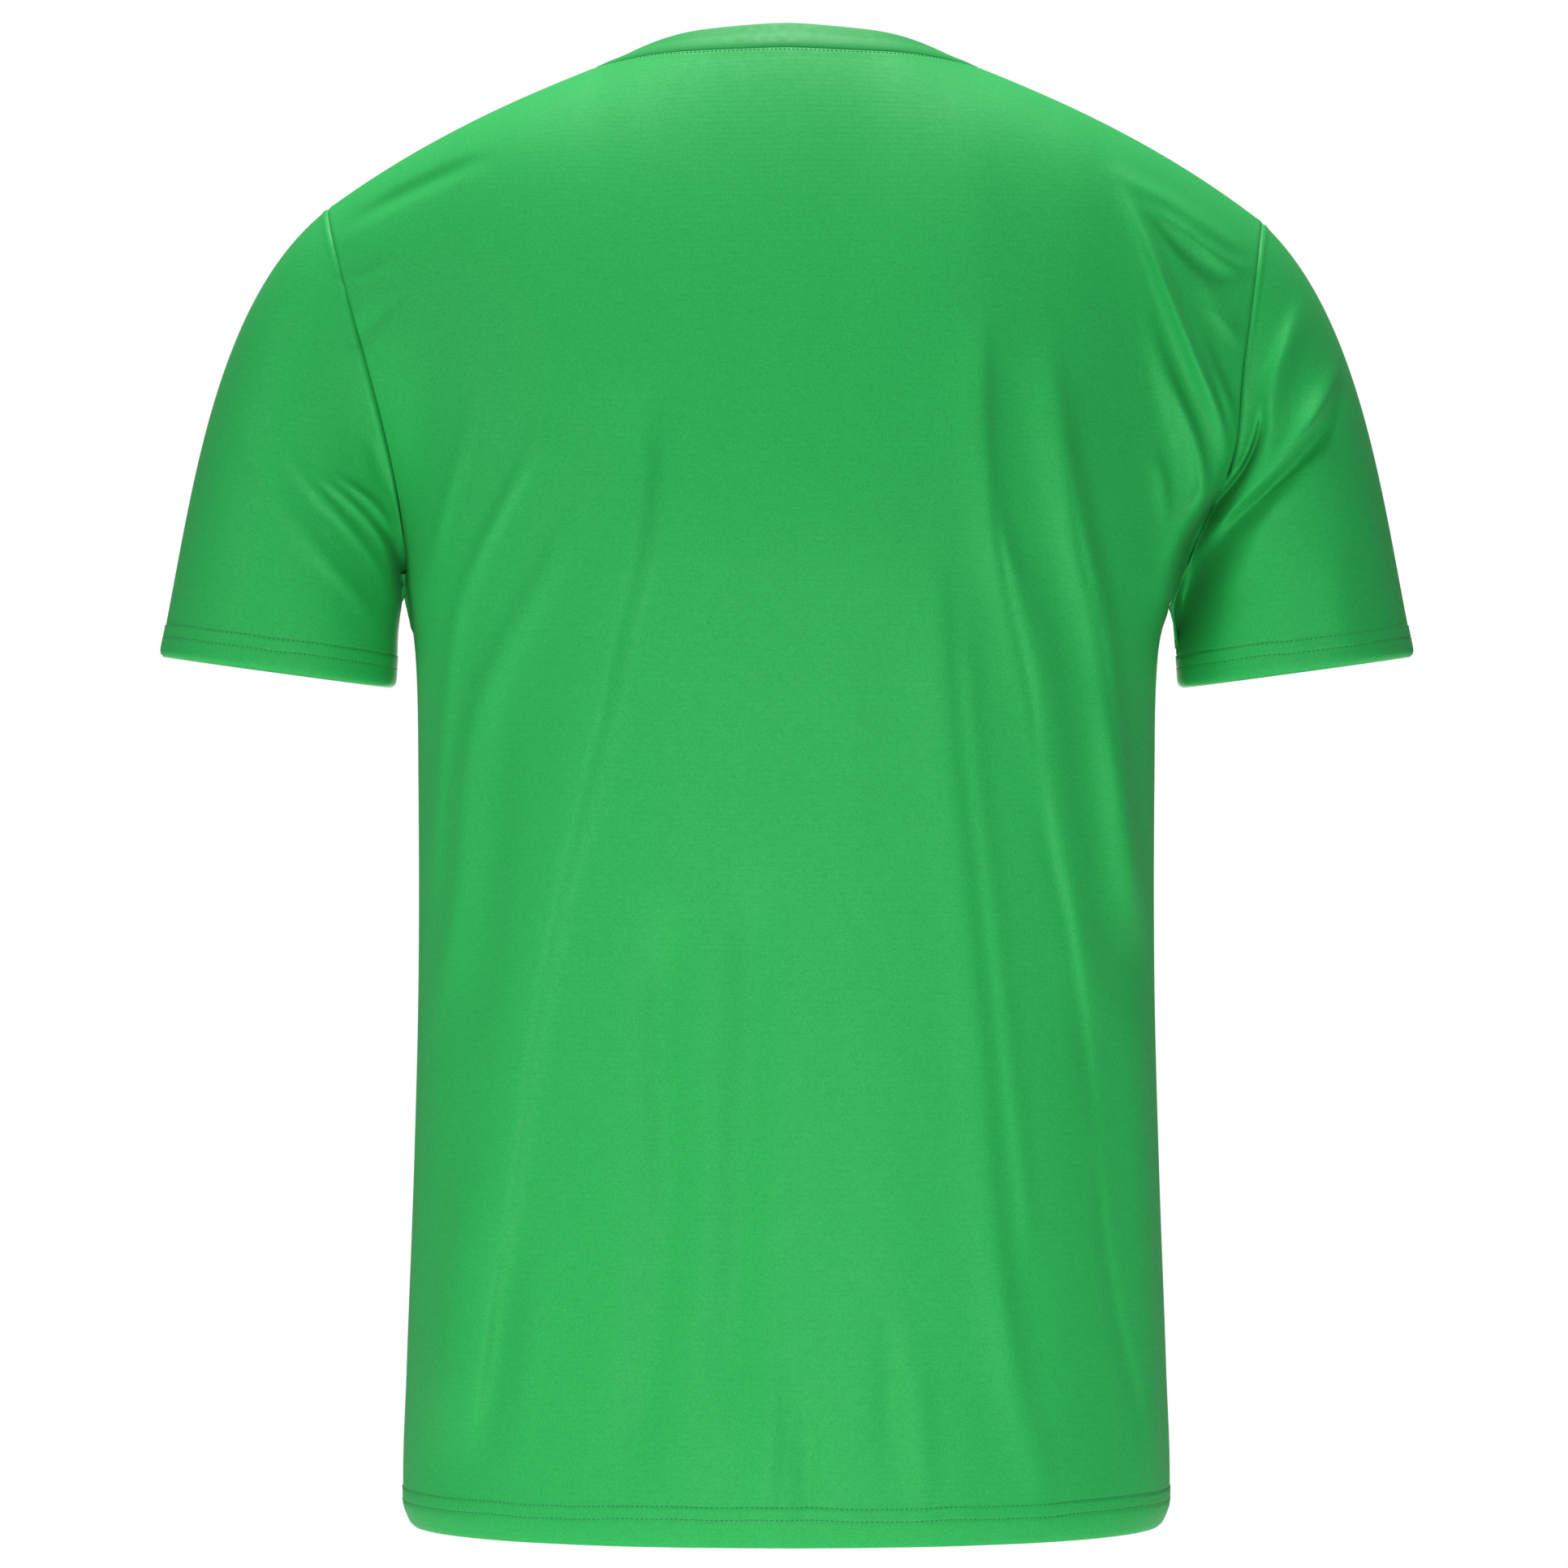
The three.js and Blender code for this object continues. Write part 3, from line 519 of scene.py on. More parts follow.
# %% Sleeve sizes
CUFF_X, CUFF_Z = 251.1, -298.2
CUFF_HALF_WIDTH, CUFF_HALF_DEPTH, CUFF_TILT = 58.6, 62, math.radians(7.7)
CUFF_NARROWING = 1.2  # how much narrower the half width is at the top of the cuff's hem
CUFF_CURL, CURL_HEIGHT = 1.6, 5  # how far the cuff's fold curls in, and from what height down
CUFF_START = CUFF_HEM_DEPTH + 1  # the sleeve's curves end at this height over the fold
# pulls at the armhole and at the cuff, on top, at the sides and under the arm
PULL_OUT, PULL_DOWN, FLARE, DROP = range(4)
SLEEVE_PULLS = {"top": (166, 130, 40, 205), "side": (112, 96, 10, 140), "under": (4, 34, 0, 36)}
SLEEVE_ROWS = 84


def sleeve_pull(item, turn):
    top, side, under = (SLEEVE_PULLS[name][item] for name in ("top", "side", "under"))
    even = (top + under) / 2
    return even + (top - under) / 2 * np.cos(turn) + (side - even) * np.sin(turn) ** 2


def cuff_point(side, turn, above, curl):
    out = (CUFF_HALF_WIDTH - CUFF_NARROWING * above / CUFF_HEM_DEPTH - curl) * np.cos(turn)
    x = CUFF_X + out * math.cos(CUFF_TILT) - above * math.sin(CUFF_TILT)
    z = CUFF_Z + out * math.sin(CUFF_TILT) + above * math.cos(CUFF_TILT)
    return points(side * x, (CUFF_HALF_DEPTH - curl) * np.sin(turn), z)


def armhole_loop(side):
    """The armhole from the shoulder point down the back, under the arm and up the front, uncreased."""
    edge = -1 if side > 0 else 0
    down = back_form[:UNDERARM_ROW:-1, edge]
    loop = np.concatenate([down, front_form[UNDERARM_ROW:-1, edge]])
    halfway = (loop + np.roll(loop, -1, axis=0)) / 2
    return np.stack([loop, halfway], 1).reshape(-1, 3)


def sleeve_form(side):
    loop = armhole_loop(side)
    turn = 2 * math.pi * np.arange(len(loop)) / len(loop)
    spread = ARMHOLES[side][SPREAD]
    leave = points(side * spread * sleeve_pull(PULL_OUT, turn), 0, -sleeve_pull(PULL_DOWN, turn))
    arrive = points(side * sleeve_pull(FLARE, turn), 0, -sleeve_pull(DROP, turn))
    end = cuff_point(side, turn, CUFF_START, 0)
    share = crowded(SLEEVE_ROWS, SEAM_CROWDING, 0)[:, None, None]
    upper = pulled(loop, leave, end, arrive, share)
    curl = [CUFF_CURL * max(0, 1 - above / CURL_HEIGHT) ** 2 for above in CUFF_HEM_ROWS]
    lower = [cuff_point(side, turn, above, roll) for above, roll in zip(CUFF_HEM_ROWS, curl)]
    return np.concatenate([upper, np.array(lower)])


left_form, right_form = sleeve_form(1), sleeve_form(-1)
left_net, right_net = creased(left_form), creased(right_form)
print("a sleeve has", len(left_net), "rows of", len(left_net[0]), "points")

# %% [markdown]
# ## Neckband
#
# The band is a strip of fine rib, folded and sewn round the neckline. Next to its seam it stands up over the
# seam allowance inside, and above that it leans in towards the neck. It is built off the neckline's own
# points.

# %% Neckband net
# lean towards the neck and rise from the seam to the top edge
BAND_SIZES = {"back": (13, 13.5), "shoulder": (15, 5.6), "front": (8.5, 14.6)}
BAND_WALL = 1.9
FLAT_AT_SHOULDER = 0.35  # the share of its swell that the band keeps over the shoulder seams
BAND_PROFILE = [
    # share of the band's width, and how far it stands off
    (0, 0),
    (0.03, 0.3),
    (0.08, 0.65),
    (0.16, 0.95),
    (0.26, 1.0),
    (0.36, 0.9),
    (0.42, 0.75),
    (0.47, 0.6),
    (0.53, 0.45),
    (0.62, 0.4),
    (0.72, 0.35),
    (0.82, 0.3),
    (0.9, 0.2),
    (0.95, 0.0),
    (0.985, -0.35),
    (1, -0.9),
]


def neck_loop(back, front):
    """The neckline from the centre back round the wearer's left to the front and back again."""
    middle, end = HALF_COLUMNS, HALF_COLUMNS + NECK_COLUMNS
    start = HALF_COLUMNS - NECK_COLUMNS
    return np.concatenate([back[-1, middle:end], front[-1, end:start:-1], back[-1, start:middle]])


def band_net():
    loop = neck_loop(back_net, front_net)
    turn = 2 * math.pi * np.arange(len(loop)) / len(loop)
    behind = np.cos(turn) > 0
    lean, rise = (
        mix(
            BAND_SIZES["shoulder"][item],
            np.where(behind, BAND_SIZES["back"][item], BAND_SIZES["front"][item]),
            np.abs(np.cos(turn)),
        )
        for item in (0, 1)
    )
    outward = points(np.sin(turn), np.cos(turn), 0)
    off = unit(points(0, 0, lean) + outward * rise[:, None])
    rows = []
    for up, swell in BAND_PROFILE:
        stand = swell * mix(FLAT_AT_SHOULDER, 1, np.abs(np.cos(turn)))
        rows.append(loop - outward * (lean * up)[:, None] + points(0, 0, rise * up) + off * stand[:, None])
    return np.array(rows)


neckband_net = band_net()
print("the neckline is", len(neckband_net[0]), "points round")


# %% [markdown]
# ## From a net to cloth
#
# A net has no thickness. Each becomes a thin closed wall: the outer points, the same points moved in by the
# cloth's thickness, and a strip round the edges. A Solidify modifier could do that, but here the hem and the
# stitch lines change the thickness from row to row, so the wall is worked out with the net.


# %% Directions out of the cloth
def net_normals(net, ring, flip):
    """The direction out of the cloth at each point, from its neighbours in the net."""
    along = np.gradient(net, axis=0)
    if ring:
        across = (np.roll(net, -1, axis=1) - np.roll(net, 1, axis=1)) / 2
    else:
        across = np.gradient(net, axis=1)
    out = unit(np.cross(across, along))
    return -out if flip else out


def walked(net, axis, used):
    """How far along a net each point is, measured over the cloth in the named directions only."""
    steps = np.diff(net[..., used], axis=axis)
    length = np.cumsum(np.linalg.norm(steps, axis=-1), axis=axis)
    return np.concatenate([np.zeros_like(length.take([0], axis)), length], axis)


# %% A closed wall from a net
def ring_faces(first, second, count, ring, flip):
    """Faces of a strip between two rows of point numbers."""
    spans = count if ring else count - 1
    here = np.arange(spans)
    there = (here + 1) % count
    quad = np.stack([first[here], first[there], second[there], second[here]], -1)
    return quad[:, ::-1] if flip else quad


def wall_mesh(name, net, normals, wall, uv, ring, flip):
    rows, columns = net.shape[:2]
    inner = net - normals * wall[:, None, None]
    number = np.arange(rows * columns).reshape(rows, columns)
    under = number + rows * columns
    faces = [ring_faces(number[r], number[r + 1], columns, ring, flip) for r in range(rows - 1)]
    faces += [ring_faces(under[r], under[r + 1], columns, ring, not flip) for r in range(rows - 1)]
    faces.append(ring_faces(under[0], number[0], columns, ring, flip))
    faces.append(ring_faces(number[-1], under[-1], columns, ring, flip))
    if not ring:
        faces.append(ring_faces(number[:, 0], under[:, 0], rows, False, flip))
        faces.append(ring_faces(under[:, -1], number[:, -1], rows, False, flip))
    faces = np.concatenate(faces)
    mesh = bpy.data.meshes.new(name)
    mesh.from_pydata((np.concatenate([net, inner]).reshape(-1, 3) * MM).tolist(), [], faces.tolist())
    mesh.update()
    layer = mesh.uv_layers.new(name="knit")
    places = np.concatenate([uv.reshape(-1, 2)] * 2)[faces.ravel()] * MM
    if ring:  # the last column's faces run on past the first one's measure
        corner = faces % (rows * columns) % columns
        wraps = (corner.max(1) - corner.min(1)) > 1
        girth = np.broadcast_to(uv[:, -1, 0] + uv[:, 1, 0], (rows, columns)[::-1]).T.ravel()
        past = (wraps[:, None] & (corner == 0)).ravel()
        places[past, 0] = girth.mean() * MM
    layer.data.foreach_set("uv", places.astype(np.float32).ravel())
    mesh.polygons.foreach_set("use_smooth", np.ones(len(faces), bool))
    return placed(name, mesh)


# %% [markdown]
# ## Seams, hems and their marks on the cloth
#
# At a seam both edges turn in, so the cloth dips towards the thread and swells beside it, where the allowance
# lies underneath. A hem is cloth folded double: thicker, with two sewn rows that pull it in a little. These
# are real changes of the surface, only tenths of a millimetre high, because light finds them at every angle.

# %% Marks on the nets
CLOTH_WALL, HEM_WALL = 0.9, 1.7
SEAM_GAP = 0.12
# how deep the cloth dips to the thread, and how high it swells beside it
SEAMS = {
    "armhole": (0.55, 0.12),
    "side": (0.45, 0.1),
    "shoulder": (0.5, 0.3),
    "neck": (0.15, 0.1),
    "sleeve": (0.42, 0),
}
DIP_WIDTH, SWELL_PLACE, SWELL_WIDTH = 0.8, 2.6, 1.6
SLEEVE_SWELL, SLEEVE_SWELL_PLACE, SLEEVE_SWELL_WIDTH = 0.45, 2.1, 1.3
BODY_STITCH_ROWS = (13.2, BODY_HEM_DEPTH)
CUFF_STITCH_ROWS = (10.4, CUFF_HEM_DEPTH)
STITCH_DIP, STITCH_DIP_WIDTHS = 0.22, (0.55, 0.6)
FOLD_ROUNDING, FOLD_HEIGHT = 1.1, 1.3
HEM_SWELL, HEM_STEP = 0.35, 1.2  # how far a doubled hem stands out, and over what height it comes to that
# how far a hand-guided row strays: millimetres, length of the wave in millimetres, start
ROW_WANDER = [(0.55, 210, 0.6), (0.3, 74, 2.0), (0.16, 31, 4.4)]


def dip(distance, width):
    return np.exp(-((distance / width) ** 2))


def seam_lift(distance, depth, swell):
    """Down to the thread, then a low swell over the allowance."""
    return -depth * dip(distance, DIP_WIDTH) + swell * dip(distance - SWELL_PLACE, SWELL_WIDTH)


def wander(along):
    return sum(far * np.sin(2 * math.pi * along / length + start) for far, length, start in ROW_WANDER)


def hem_lift(above, along, stitch_rows):
    """Two sewn rows pull a doubled hem in, and its fold is round."""
    off_rows = zip(stitch_rows, STITCH_DIP_WIDTHS)
    pulled_in = sum(dip(above - row - wander(along), width) for row, width in off_rows)
    return -STITCH_DIP * pulled_in - FOLD_ROUNDING * dip(above, FOLD_HEIGHT)


def inside_hem(above, depth):
    """One inside a hem and nothing above it, with a short step between."""
    return smooth((depth + HEM_STEP / 2 - above) / HEM_STEP)


def hemmed(net, normals, lift, above, stitch_rows):
    """A net with its seams and its hem on it, and its wall, which is doubled up to the upper row."""
    lift = lift + hem_lift(above, net[..., 0], stitch_rows)
    doubled = inside_hem(above, stitch_rows[1])
    wall = mix(CLOTH_WALL, HEM_WALL, doubled.mean(1))
    return net + normals * (lift + HEM_SWELL * doubled)[..., None], wall


def finished_panel(name, net, flip):
    normals = net_normals(net, False, flip)
    walk, up = walked(net, 1, [0, 1, 2]), walked(net, 0, [0, 1, 2])
    side, from_top = np.minimum(walk, walk[:, -1:] - walk), up[-1:] - up
    above_arm = (np.arange(len(ROWS)) > UNDERARM_ROW)[:, None]
    lift = np.where(above_arm, seam_lift(side, *SEAMS["armhole"]), seam_lift(side, *SEAMS["side"]))
    shoulder = np.abs(COLUMNS)[None, :] > NECK_SHARE
    lift += np.where(shoulder, seam_lift(from_top, *SEAMS["shoulder"]), seam_lift(from_top, *SEAMS["neck"]))
    net, wall = hemmed(net, normals, lift, ROWS[:, None] * SIDE_LENGTH, BODY_STITCH_ROWS)
    centre = walked(net, 1, [0, 1])
    uv = np.stack([centre - centre[:, HALF_COLUMNS : HALF_COLUMNS + 1], walked(net, 0, [1, 2])], -1)
    return wall_mesh(name, drawn_in(net, False), normals, wall, uv, False, flip), net, normals


ALLOWANCE = (2.4, 1.7)  # how far a seam allowance reaches past the seam, and how far it lies below


def with_allowance(net, normals, wall, uv):
    """Adds a narrow seam allowance that lies behind the neighbouring piece."""
    row = net[0] + unit(net[0] - net[1]) * ALLOWANCE[0] - normals[0] * ALLOWANCE[1]
    repeated = [np.concatenate([values[:1], values]) for values in (normals, wall, uv)]
    return np.concatenate([row[None], net]), *repeated


def drawn_in(net, ring):
    """Pulls a net's edges in by half the gap of a seam."""
    net = net.copy()
    edges = [(0, 1, 0), (-1, -2, 0)] + ([] if ring else [(0, 1, 1), (-1, -2, 1)])
    for edge, beside, axis in edges:
        at = net[edge] if axis == 0 else net[:, edge]
        step = (net[beside] if axis == 0 else net[:, beside]) - at
        at += unit(step) * SEAM_GAP / 2
    return net


back_panel, back_cloth, back_normals = finished_panel("back_cloth", back_net, True)
front_panel, front_cloth, front_normals = finished_panel("front_cloth", front_net, False)
print("back", len(back_panel.data.polygons), "faces, front", len(front_panel.data.polygons))


# %% Sleeves and band as cloth
def ring_piece(name, net, normals, wall, up, flip):
    """A closed ring of cloth, with its allowance behind the piece that it is sewn to."""
    around = np.cumsum(np.linalg.norm(np.roll(net, 1, axis=1) - net, axis=-1).mean(0))
    uv = np.stack(np.broadcast_arrays(around[None, :], up), -1)
    return wall_mesh(name, *with_allowance(drawn_in(net, True), normals, wall, uv), True, flip)


def finished_sleeve(name, net, flip):
    normals = net_normals(net, True, flip)
    down = walked(net, 0, [0, 1, 2])
    above_cuff = down[-1:] - down
    lift = seam_lift(down, *SEAMS["sleeve"])
    lift += SLEEVE_SWELL * dip(down - SLEEVE_SWELL_PLACE, SLEEVE_SWELL_WIDTH)
    net, wall = hemmed(net, normals, lift, above_cuff, CUFF_STITCH_ROWS)
    return ring_piece(name, net, normals, wall, above_cuff, flip), net, normals


left_sleeve, left_cloth, left_normals = finished_sleeve("left_sleeve_cloth", left_net, True)
right_sleeve, right_cloth, right_normals = finished_sleeve("right_sleeve_cloth", right_net, False)

band_normals = net_normals(neckband_net, True, True)
band_wall = np.full(len(neckband_net), BAND_WALL)
band_up = walked(neckband_net, 0, [0, 1, 2])
neckband = ring_piece("neckband_cloth", neckband_net, band_normals, band_wall, band_up, True)

# %% [markdown]
# ## Stitches
#
# The hems are sewn with a twin needle: two rows of short stitches about 6 mm apart. One more row holds the
# neck seam down. Each stitch is a short, fat piece of thread that lies in the dip of its row. Hundreds of
# small objects would be slow, so the stitches of the body hem, of the cuffs and of the neck are each joined
# in one mesh, made from arrays.

# %% A row of stitches
STITCH_PITCH, STITCH_SHARE = 2.4, 0.55  # from stitch to stitch, and how much of that one stitch fills
THREAD = 0.22  # half the thread's width
AHEAD = 0.5  # how far before and behind a stitch the line gives it its direction
# rings of one stitch: place along it, and how thick it is there
BEAD = [(-0.5, 0.15), (-0.36, 0.8), (0, 1), (0.36, 0.8), (0.5, 0.15)]
BEAD_SIDES, BEAD_WIDENING = 6, 1.25
BEAD_RISE, BEAD_BEND, BEAD_SINK = 0.6, 2, 0.02  # its middle stands out by this, and its ends dive


def along_line(line, normals, ring, pitch):
    """Even steps along a line on the cloth, with the direction of the line and out of the cloth."""
    if ring:
        line, normals = np.concatenate([line, line[:1]]), np.concatenate([normals, normals[:1]])
    walk = np.concatenate([[0], np.cumsum(np.linalg.norm(np.diff(line, axis=0), axis=1))])
    places = np.arange(pitch / 2, walk[-1], walk[-1] / round(walk[-1] / pitch))

    def sample(values, at):
        return np.stack([np.interp(at, walk, values[:, axis]) for axis in range(3)], -1)

    ahead = sample(line, np.minimum(places + AHEAD, walk[-1])) - sample(line, np.maximum(places - AHEAD, 0))
    ahead /= np.linalg.norm(ahead, axis=1, keepdims=True)
    return sample(line, places), ahead, sample(normals, places)


def stitch_row(line, normals, ring=False, pitch=STITCH_PITCH):
    """Points and faces of every stitch along one line. Each is a six-sided bead with narrow ends."""
    centre, ahead, out = along_line(line, normals, ring, pitch)
    beside = np.cross(ahead, out)
    parts = []
    for along, fat in BEAD:
        height = THREAD * (BEAD_RISE - BEAD_BEND * along**2) - BEAD_SINK
        middle = centre + ahead * (along * pitch * STITCH_SHARE) + out * height
        for angle in np.arange(BEAD_SIDES) * 2 * math.pi / BEAD_SIDES:
            spoke = beside * math.cos(angle) * BEAD_WIDENING + out * math.sin(angle)
            parts.append(middle + spoke * THREAD * fat)
    number = np.arange(len(parts)).reshape(len(BEAD), BEAD_SIDES)
    strips = [ring_faces(low, high, BEAD_SIDES, True, False) for low, high in zip(number, number[1:])]
    caps = np.array([number[0, ::-1], number[-1]])
    first = len(parts) * np.arange(len(centre))[:, None, None]
    faces = (np.concatenate(strips) + first).reshape(-1, 4).tolist()
    return np.stack(parts, 1).reshape(-1, 3), faces + (caps + first).reshape(-1, BEAD_SIDES).tolist()


def stitched(name, rows):
    """One joined mesh from several rows of stitches."""
    places, faces, start = [], [], 0
    for row_points, row_faces in rows:
        places.append(row_points)
        faces += [[corner + start for corner in face] for face in row_faces]
        start += len(row_points)
    mesh = bpy.data.meshes.new(name)
    mesh.from_pydata((np.concatenate(places) * MM).tolist(), [], faces)
    mesh.update()
    mesh.polygons.foreach_set("use_smooth", np.ones(len(faces), bool))
    return placed(name, mesh)


# %% Where the rows of stitches run
def row_at(net, wanted, heights):
    """The line across a net at a wanted height for each column, between its rows."""
    order = np.argsort(heights)
    share = np.interp(wanted, np.array(heights)[order], order.astype(float))
    low = np.minimum(share.astype(int), len(heights) - 2)
    column = np.arange(net.shape[1])
    return mix(net[low, column], net[low + 1, column], (share - low)[:, None])


def sewn_rows(net, normals, heights, rows, ring):
    """A net's rows of stitches, each at its height over the hem's fold and as uneven as it is sewn."""
    along = net[int(np.argmin(heights)), :, 0]
    for row in rows:
        wanted = row + wander(along)
        yield stitch_row(row_at(net, wanted, heights), row_at(normals, wanted, heights), ring)


hem_rows = []
for net, normals in ((back_cloth, back_normals), (front_cloth, front_normals)):
    hem_rows += sewn_rows(net, normals, ROWS * SIDE_LENGTH, BODY_STITCH_ROWS, False)
hem_stitches = stitched("hem_stitches", hem_rows)

cuff_rows = []
for net, normals in ((left_cloth, left_normals), (right_cloth, right_normals)):
    walk = walked(net, 0, [0, 1, 2]).mean(1)
    cuff_rows += sewn_rows(net, normals, walk[-1] - walk, CUFF_STITCH_ROWS, True)
cuff_stitches = stitched("cuff_stitches", cuff_rows)

NECK_ROW = 1.3  # the row lies this far below the seam, on the panels
NECK_PITCH = 2.1


def below_neck(net, values):
    """A line a little below the top edge of a panel, over the neck."""
    gone = walked(net[::-1], 0, [0, 1, 2]).T
    columns = zip(gone, values[::-1].transpose(1, 2, 0))
    return np.array([[np.interp(NECK_ROW, walk, axis) for axis in column] for walk, column in columns])[None]


neck_line = neck_loop(below_neck(back_cloth, back_cloth), below_neck(front_cloth, front_cloth))
neck_out = neck_loop(below_neck(back_cloth, back_normals), below_neck(front_cloth, front_normals))
neck_stitches = stitched("neck_stitches", [stitch_row(neck_line, neck_out, True, NECK_PITCH)])
for piece in (hem_stitches, cuff_stitches, neck_stitches):
    print(piece.name, len(piece.data.vertices) // (len(BEAD) * BEAD_SIDES))

# %% [markdown]
# ## The knit
#
# The cloth is a light polyester knit. Seen close it has fine upright ribs, the wales, a millimetre apart, and
# every third millimetre a course that lies lower, which reads as faint level lines. The low courses are also
# painted in a deeper colour: painted shade in these recesses. A fine grain and a weak mottle keep the yarn
# from looking printed. The cloth is smooth, so it has a soft satin shine rather than a gloss. The pattern is
# worked out from the measure along and across the cloth that the nets carry, so it follows every panel as cut
# cloth would.


# %% Node helpers
class Maker:
    """Adds nodes to one material with few words."""

    def __init__(self, name):
        self.material = bpy.data.materials.new(name)
        self.material.use_nodes = True
        self.tree = self.material.node_tree
        self.shader = self.tree.nodes["Principled BSDF"]

    def put(self, target, value):
        if hasattr(value, "links"):
            self.tree.links.new(value, target)
        else:
            target.default_value = value

    def new(self, kind):
        return self.tree.nodes.new("ShaderNode" + kind)

    def fill(self, node, inputs):
        """Gives each named input its number, its colour or its link."""
        for name, value in inputs.items():
            self.put(node.inputs[name], value)
        return node.outputs

    def math(self, operation, *values):
        node = self.new("Math")
        node.operation = operation
        return self.fill(node, dict(enumerate(values)))[0]

    def mapped(self, value, low, high, to_low, to_high):
        inputs = {"Value": value, "From Min": low, "From Max": high, "To Min": to_low, "To Max": to_high}
        return self.fill(self.new("MapRange"), inputs)["Result"]

    def place(self):
        """Metres in the shirt's own frame."""
        return self.new("TexCoord").outputs["Object"]

    def noise(self, scale, detail):
        inputs = {"Vector": self.place(), "Scale": scale, "Detail": detail}
        return self.fill(self.new("TexNoise"), inputs)["Fac"]

    def colours(self, share, first, second):
        node = self.new("Mix")
        node.data_type = "RGBA"
        return self.fill(node, {"Factor": share, "A": first, "B": second})["Result"]

    def apart(self, vector):
        return self.fill(self.new("SeparateXYZ"), {"Vector": vector})

    def cloth_measure(self):
        """Metres across and up the cloth."""
        node = self.new("UVMap")
        node.uv_map = "knit"
        across, up, _ = self.apart(node.outputs["UV"])
        return across, up

    def bump(self, height, strength, distance, before=None):
        inputs = {"Height": height, "Strength": strength, "Distance": distance}
        if before is not None:
            inputs["Normal"] = before
        return self.fill(self.new("Bump"), inputs)["Normal"]


def wave(maker, measure, pitch):
    """From 0 to 1 and back once in each pitch."""
    turn = maker.math("MULTIPLY", measure, 2 * math.pi / pitch)
    return maker.math("MULTIPLY_ADD", maker.math("SINE", turn), 0.5, 0.5)


# %% The jersey
# distance between wales and between low courses, how far the wales stand out, the yarn's colour, and a deeper
# one
JERSEY = (1.05 * MM, 3.0 * MM, 0.35, (0.0245, 0.465, 0.1, 1), (0.014, 0.33, 0.064, 1))
RIB = (0.9 * MM, 1.5 * MM, 0.7, (0.0205, 0.37, 0.08, 1), (0.014, 0.29, 0.059, 1))
COURSE_SHARPNESS = 3.0  # a higher number makes the low courses narrower
BETWEEN_WALES = 0.05  # how much of a low course shows between two wales
COURSE_DEPTH = 0.9
# how much of the deeper colour each brings: the low courses as painted shade, the grain and the mottle as
# uneven tone
DASH_SHADE_SHARE, GRAIN_SHARE, MOTTLE_SHARE = 0.11, 0.62, 0.1
# each noise: how fine it is, per metre, and how many finer layers it has
MOTTLE, GRAIN, FUZZ = (260, 3), (1100, 2), (900, 2)
NOISE_SPREAD = 0.3, 0.7  # nearly all of a noise lies between these
ROUGHNESS = 0.54, 0.64
# strength and height in metres
FUZZ_BUMP, KNIT_BUMP, TWIST_BUMP = (0.12, 0.00015), (0.35, 0.00009), (0.4, 0.00005)
SATIN = {"Specular IOR Level": 0.22, "Sheen Weight": 0.045, "Sheen Roughness": 0.5}
SATIN["Sheen Tint"] = (0.5, 1, 0.6, 1)


def knit_material(name, wale, course, rib, base, deep):
    maker = Maker(name)
    across, up = maker.cloth_measure()
    wales = wave(maker, across, wale)
    courses = wave(maker, up, course)
    low_course = maker.math("POWER", courses, COURSE_SHARPNESS)
    dashes = maker.math("MULTIPLY", low_course, maker.mapped(wales, 0, 1, BETWEEN_WALES, 1))
    mottle, grain = (maker.mapped(maker.noise(*kind), *NOISE_SPREAD, 0, 1) for kind in (MOTTLE, GRAIN))
    uneven = maker.math("MULTIPLY_ADD", grain, GRAIN_SHARE, maker.math("MULTIPLY", mottle, MOTTLE_SHARE))
    # the low courses get the deeper colour: painted shade in the recesses; grain and mottle are uneven tone
    shade = maker.math("MULTIPLY_ADD", dashes, DASH_SHADE_SHARE, uneven)
    maker.put(maker.shader.inputs["Base Color"], maker.colours(shade, base, deep))
    low = maker.math("MULTIPLY", dashes, COURSE_DEPTH)
    relief = maker.math("SUBTRACT", maker.math("MULTIPLY", wales, rib), low)
    fuzz = maker.bump(maker.noise(*FUZZ), *FUZZ_BUMP)
    maker.put(maker.shader.inputs["Normal"], maker.bump(relief, *KNIT_BUMP, fuzz))
    maker.put(maker.shader.inputs["Roughness"], maker.mapped(mottle, 0, 1, *ROUGHNESS))
    for socket, value in SATIN.items():
        maker.shader.inputs[socket].default_value = value
    return maker.material


jersey = knit_material("jersey_knit", *JERSEY)
rib = knit_material("neckband_rib", *RIB)

# %% [markdown]
# The thread is dyed to match the cloth. It sits low and shades itself, and for that its colour is painted
# darker than the cloth's: painted shade. Its twist shows as fine slanted bands.


# %% The thread
# both colours are darker than the cloth's: painted shade of the thread sitting low
THREAD_PAINTED_SHADE_COLOURS = (0.010, 0.16, 0.04, 1), (0.02, 0.25, 0.065, 1)
TWIST = 0.5 * MM
THREAD_ROUGHNESS, THREAD_SHEEN = 0.5, 0.1


def thread_material():
    maker = Maker("sewing_thread")
    x, y, z = maker.apart(maker.place())
    twist = wave(maker, maker.math("ADD", maker.math("ADD", x, y), z), TWIST)
    maker.put(maker.shader.inputs["Base Color"], maker.colours(twist, *THREAD_PAINTED_SHADE_COLOURS))
    maker.put(maker.shader.inputs["Normal"], maker.bump(twist, *TWIST_BUMP))
    maker.shader.inputs["Roughness"].default_value = THREAD_ROUGHNESS
    maker.shader.inputs["Sheen Weight"].default_value = THREAD_SHEEN
    return maker.material


thread = thread_material()
